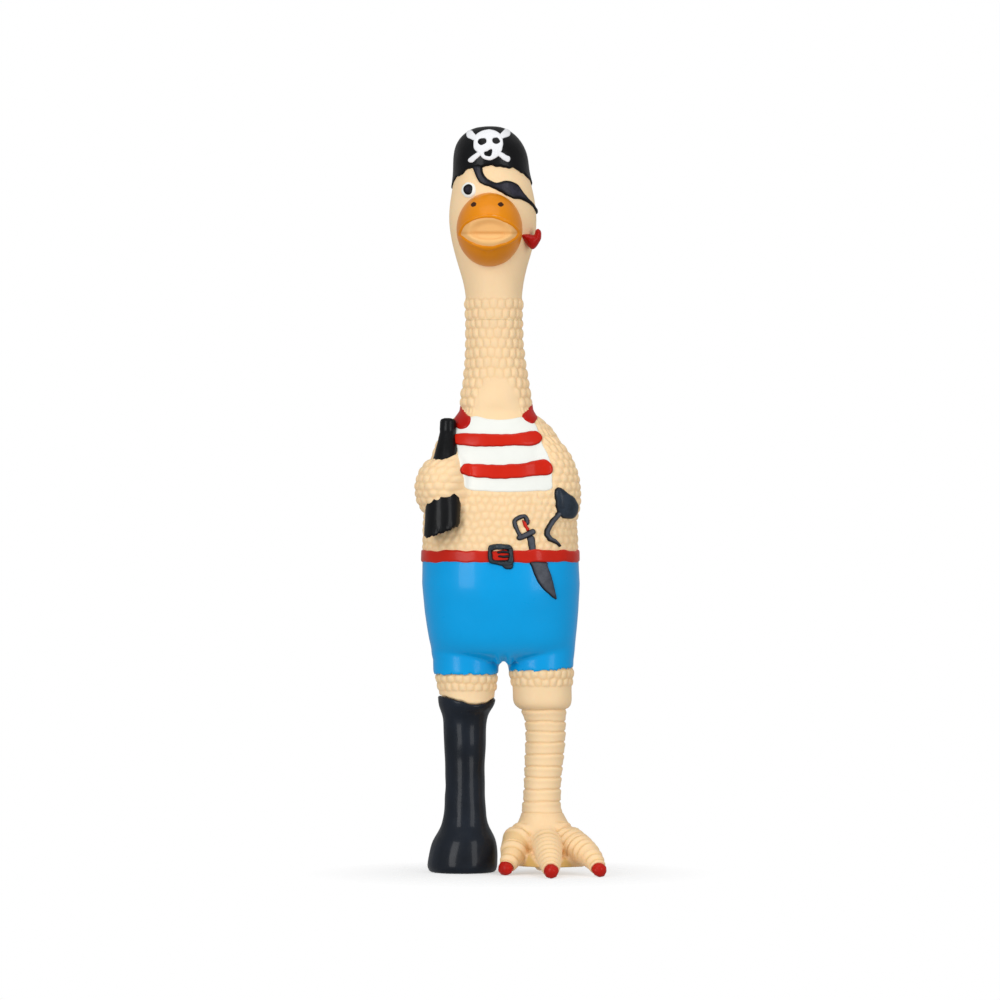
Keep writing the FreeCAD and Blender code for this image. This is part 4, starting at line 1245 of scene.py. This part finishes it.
def make_buckle(aim):
    parts = [relief("buckle_frame", [BUCKLE_OUTER, BUCKLE_INNER], aim, 1.6, 1.1, 0.45, sink=1.2, seed=51)]
    for k, path in enumerate(BUCKLE_BARS):
        bar = stroke(path, [1.1, 1.4, 1.7])
        parts.append(relief(f"buckle_bar_{k}", [bar], aim, 0.9, 0.7, 0.35, seed=52 + k, rounded=False))
    finish(joined("belt_buckle_metal", parts), BUCKLE, "torso", "belt_buckle")
    tail = relief("belt_tail_end", [BELT_TAIL], aim, 1.3, 1.0, 0.4, sink=1.0, seed=55)
    finish(tail, BUCKLE, "torso", "belt_tail")


def make_dagger(aim, low_aim):
    """A bowed guard, a red grip and a blade that goes behind the belt."""
    bow, cross = stroke(GUARD_BOW, 2.5), stroke(GUARD_CROSS, 3.3)
    guard = [relief("guard_bow", [bow], aim, 1.5, 1.0, 0.4, sink=0.8, seed=61, rounded=False),
             relief("guard_cross", [cross], aim, 1.8, 1.3, 0.4, sink=0.8, seed=62, rounded=False)]
    finish(joined("dagger_guard_metal", guard), STEEL, "torso", "dagger_guard")
    grip = relief("dagger_grip_paint", [GRIP], aim, 1.2, 0.9, 0.35, sink=0.8, wobble=0.3, seed=63)
    finish(grip, RED, "torso", "dagger_grip")
    blade = [relief("blade_upper", [BLADE_UPPER], aim, 1.0, 1.0, 0.45, sink=0.8, seed=64),
             relief("blade_lower", [BLADE_LOWER], low_aim, 1.2, 1.2, 0.5, sink=0.8, seed=65)]
    finish(joined("dagger_blade_metal", blade), STEEL, "torso", "dagger_blade")


def make_hook(aim):
    """A bent hook that comes out of a cup at the end of the wing."""
    arm = relief("hook_metal", [stroke(HOOK, HOOK_WIDTH)], aim, 2.0, 1.3, 0.4, sink=1.0, wobble=0.16, seed=71,
                 rounded=False)
    finish(arm, STEEL, "torso", "hook")
    cup = relief("hook_cup_metal", [HOOK_CUP], aim, 2.6, 3.2, 0.5, sink=1.0, seed=72)
    finish(cup, CUP, "torso", "hook_cuff")


def make_waist():
    shorts, belt = make_shorts(), make_belt()
    skin_aim = front(BELLY_SHEET)
    make_buckle(front(tree_of(belt, shorts, TORSO_SKIN)))
    make_dagger(skin_aim, front(tree_of(shorts)))
    make_hook(skin_aim)


make_waist()


# ---- legs -------------------------------------------------------------------------------------------

peg_axis = leaning([0, 24, 95, 130], [-25.8, -25.4, -23.4, -23.6])
bird_axis = leaning([20, 60, 85, 97, 130], [16.9, 17.6, 17.4, 16.6, 16.6])
COLLAR = BOOT_TOP - 0.6 * MM
SOLE_ROUND = 2.6 * MM       # the boot's wall starts this high above its sole
SOLE_HOLE = 8.7 * MM
SHANK_RINGS = (87.0, 81.0, 75.7, 69.8, 63.4, 56.9, 51.0, 44.6, 38.1, 31.9)


def over_hip(leg, joint):
    """The bodies and heights of a blend of a leg's skin from the torso to that leg, which finish() takes but
    does not apply.
    """
    x = PIVOT[joint].x
    return "torso", leg, (x, AXIS_Y, HIP_BLEND[0]), (x, AXIS_Y, HIP_BLEND[1])


def collar_drop(angle):
    """How far the boot's painted upper edge lies below its highest place."""
    turn = np.mod(angle + math.pi, TURN) - math.pi
    ripple = 0.16 * np.sin(9 * turn) + 0.1 * np.sin(16 * turn + 1)
    return (3.5 * hump(turn, 0.35, 0.8) + 0.5 + 0.5 * np.sin(turn) + ripple) * MM


def thigh_bump(angle, z):
    """Pebbles between the shorts and the boot, and a plain band that tucks into the boot."""
    shape = pebbles(angle, z - 97.0 * MM, 22, 4.6, 81)
    above = (z - BOOT_TOP + collar_drop(angle)) / MM
    mask = eased(97.0, 98.2, z)
    lift = shape * mask * 0.9 - 2.5 * smoothstep(1.2, -1.0, above)
    # The second value is painted shade in the grooves between the thigh's pebbles.
    return lift * MM, smoothstep(0.5, 0.0, shape) * mask * 0.6


def make_peg_thigh():
    thigh = RoundSurface(tree_of(*nodes("peg_thigh")), peg_axis, 86 * MM, 113 * MM, 0.5 * MM, 200, 8)
    piece = skin_panel("peg_thigh_soft", thigh, rows_between(87.5 * MM, THIGH_TOP, 0.45 * MM), thigh_bump)
    finish(piece, SKIN, over_hip("peg_leg", "peg_leg_swing"), "peg_thigh")


def inward(ring, axis, amount, height):
    """A ring of points drawn in towards an upright axis, at a new height."""
    way = ring - np.array([axis, AXIS_Y, 0.0])
    way[:, 2] = 0
    out = ring - way / np.linalg.norm(way, axis=1, keepdims=True) * amount * MM
    out[:, 2] = height
    return out


def make_boot():
    """A lumpy painted boot with a rounded sole, a hole for the squeaker and an uneven upper edge."""
    boot = RoundSurface(tree_of(*nodes("boot")), peg_axis, 0.8 * MM, COLLAR, 0.5 * MM, 260, 6)

    def bump(angle, z):
        place = boot.point(angle, z).reshape(-1, 3)
        flutes = noise(place * [1, 1, 0.1], 0.007, 9)
        return (noise(place, 0.013, 8) * 0.12 + flutes * 0.08).reshape(z.shape) * MM, np.zeros(z.shape)

    sole, collar = boot.ring(SOLE_ROUND), boot.ring(COLLAR)
    low, high = peg_axis(0.0), peg_axis(BOOT_TOP)
    hole = SOLE_HOLE * np.array([level_way(turn) for turn in boot.angle]) + [low, AXIS_Y, 0]
    below = [hole + [0, 0, 13.2 * MM], hole + [0, 0, 0.5 * MM], hole]
    below += [inward(sole, low, 2.6, 0.0), inward(sole, low, 1.3, 0.4 * MM), inward(sole, low, 0.5, 1.2 * MM)]
    above = [inward(collar, high, 0.3, BOOT_TOP - 0.2 * MM), inward(collar, high, 0.9, BOOT_TOP),
             inward(collar, high, 1.8, BOOT_TOP - 0.3 * MM), inward(collar, high, 3.4, BOOT_TOP - 2.0 * MM)]
    piece = skin_panel("boot_paint_soft", boot, rows_between(SOLE_ROUND, COLLAR, 0.7 * MM), bump, below, above)
    p = points_of(piece)
    high = smoothstep(84 * MM, BOOT_TOP - 1.0 * MM, p[:, 2])
    p[:, 2] -= high * collar_drop(angle_round(peg_axis(p[:, 2]), p))
    set_points(piece, p)
    finish(piece, NAVY, over_hip("peg_leg", "peg_leg_swing"), "boot")


def bird_leg_bump(angle, z):
    """Pebbles above the knee, and rings with a swell below each groove down the shank."""
    shape = pebbles(angle, z - 99.6 * MM, 24, 4.6, 91)
    fluffy = eased(99.4, 100.8, z)
    groove = np.zeros(z.shape)
    for k, ring in enumerate(SHANK_RINGS):
        off = z / MM - ring - 0.2 * np.sin(angle * 2 + k * 1.7) - 0.08 * np.sin(angle * 5 + k)
        groove += 0.3 * hump(off, -1.5, 1.2) - 0.75 * hump(off, 0, 0.5)
    plain = 1 - fluffy
    tucked = smoothstep(ANKLE_SEAM + 0.3 * MM, ANKLE_SEAM - 1.0 * MM, z)
    lift = shape * 0.9 * fluffy + groove * plain - 0.7 * tucked
    # The second value is painted shade in the grooves between pebbles and in the ring grooves down the shank.
    return lift * MM, smoothstep(0.5, 0.0, shape) * fluffy * 0.6 + np.clip(-groove, 0, 1) * plain * 0.6


def make_bird_leg():
    tree = tree_of(*nodes("bird_thigh", "bird_shank", "bird_foot"))
    leg = RoundSurface(tree, bird_axis, 22 * MM, 113 * MM, 0.4 * MM, 220, 6)
    rows = rows_between(ANKLE_SEAM - 1.4 * MM, THIGH_TOP, 0.4 * MM)
    piece = skin_panel("bird_leg_soft", leg, rows, bird_leg_bump)
    finish(piece, SKIN, over_hip("bird_leg", "bird_leg_swing"), "bird_thigh", "bird_shank")


# Each toe's centreline, x, y from the body's axis, z, and its radius there, root to tip.
TOES = [[(8.5, -4.0, 18.6, 9.4), (2.9, -12.0, 15.0, 8.4), (0.8, -19.5, 9.6, 6.3), (-2.0, -25.6, 4.6, 4.3)],
        [(18.5, -6.0, 17.0, 9.0), (19.5, -20.0, 15.0, 8.0), (20.6, -36.0, 9.4, 6.6), (21.3, -50.0, 4.6, 4.5)],
        [(27.0, -5.0, 18.6, 9.5), (35.5, -17.0, 14.0, 8.2), (42.4, -29.0, 10.0, 6.0), (46.4, -38.5, 4.5, 4.2)]]
HIND_TOE = [(17.6, 2.0, 15.0, 10.0), (18.2, 11.0, 8.2, 8.2), (18.6, 21.0, 3.8, 5.6)]
TOE_FOLD = 4.3 * MM
CLAW_SIZE = (3.9, 3.3, 3.75)
CLAW_HEIGHT = 3.7
CLAW_AHEAD = 1.6


def along_toes(p):
    """For each point, how far it lies from the nearest toe's centreline, in radii, and how far along it."""
    best = np.full(len(p), 1e9)
    along = np.zeros(len(p))
    for k, toe in enumerate([*TOES, HIND_TOE]):
        line = np.array([(x, y + AXIS_Y / MM, z) for x, y, z, _ in toe]) * MM
        size = np.array([r for *_, r in toe]) * MM
        walked = 0.0
        for i in range(len(toe) - 1):
            a, ab = line[i], line[i + 1] - line[i]
            t = np.clip(((p - a) @ ab) / (ab @ ab), 0, 1)
            off = np.linalg.norm(p - a - t[:, None] * ab, axis=1) / (size[i] * (1 - t) + size[i + 1] * t)
            nearer = off < best
            best = np.where(nearer, off, best)
            along = np.where(nearer, walked + t * np.linalg.norm(ab) + 0.7 * MM * k, along)
            walked += np.linalg.norm(ab)
    return best, along


def make_foot():
    """The three-toed foot with its hind toe, the ring folds along its toes and the web between them."""
    foot = softened("bird_foot_soft", ["bird_foot"], 0.6 * MM, 8)
    p = points_of(foot)
    n = normals_of(foot)
    best, along = along_toes(p)
    upper = smoothstep(-0.2, 0.35, n[:, 2] + 0.55 * -n[:, 1])
    on_toe = smoothstep(1.22, 1.02, best) * eased(0.5, 4.0, along) * upper
    turn = along / TOE_FOLD % 1.0
    groove = hump(turn, 0.5, 0.13)
    lift = on_toe * (0.4 * (hump(turn, 0.85, 0.25) + hump(turn, -0.15, 0.25)) - 0.8 * groove)
    # web only darkens the colour: painted shade on the web between the toes.
    web = smoothstep(1.12, 1.4, best) * eased(16, 9, p[:, 2]) * (p[:, 1] < AXIS_Y - 12 * MM)
    p += n * (lift * MM)[:, None]
    centre = np.array([bird_axis(ANKLE_SEAM), AXIS_Y])
    p[:, :2] = centre + (p[:, :2] - centre) * (1 - 0.12 * eased(31.4, 33.2, p[:, 2]))[:, None]
    set_points(foot, p)
    # Painted shade: darker in the toes' ring grooves and on the web between the toes.
    store(foot, "painted_shade", np.clip(groove * on_toe * 0.6 + web, 0, 1))
    ankle = PIVOT["foot_flex"].x
    finish(foot, FOOT_SKIN, ("bird_leg", "foot", (ankle, AXIS_Y - 4 * MM, 34 * MM),
                             (ankle, AXIS_Y - 8 * MM, 17 * MM)), "bird_foot")


def make_claw(k, toe):
    """A blunt, ridged claw at the tip of a toe, flat where it rests on the floor."""
    tip, before = np.array(toe[-1][:3]), np.array(toe[-2][:3])
    way = tip[:2] - before[:2]
    way /= np.linalg.norm(way)
    bpy.ops.mesh.primitive_ico_sphere_add(subdivisions=5, radius=1.0)
    claw = bpy.context.object
    p = points_of(claw)
    turn = np.arctan2(p[:, 2], p[:, 0])
    blunt = 1.0 + 0.10 * np.abs(p[:, 1]) ** 3
    ridges = 0.02 * np.cos(turn * 9 + k) * smoothstep(1.0, 0.2, np.abs(p[:, 1]))
    lumps = 0.06 * noise(p, 1.4, 100 + k) + 0.025 * noise(p, 0.5, 110 + k)
    side, ahead, up = (p * [1, -1, 1] * CLAW_SIZE * (blunt + ridges + lumps)[:, None]).T
    x = tip[0] + way[0] * (CLAW_AHEAD + ahead) - way[1] * side
    y = tip[1] + AXIS_Y / MM + way[1] * (CLAW_AHEAD + ahead) + way[0] * side
    set_points(claw, np.stack([x, y, np.maximum(CLAW_HEIGHT + up, 0.0)], -1) * MM)
    shade_smooth(claw.data)
    return claw


def make_claws():
    claws = joined("claws_paint", [make_claw(k, toe) for k, toe in enumerate(TOES)])
    finish(claws, CLAW_RED, "foot", "claws")


make_peg_thigh()
make_boot()
make_bird_leg()
make_foot()
make_claws()


# ---- squeaker --------------------------------------------------------------------------------------

for node in nodes("squeaker_housing", "squeaker_cap", "reed_block", "squeaker_reed"):
    node.data.materials.clear()
    node.data.materials.append(PLASTIC)
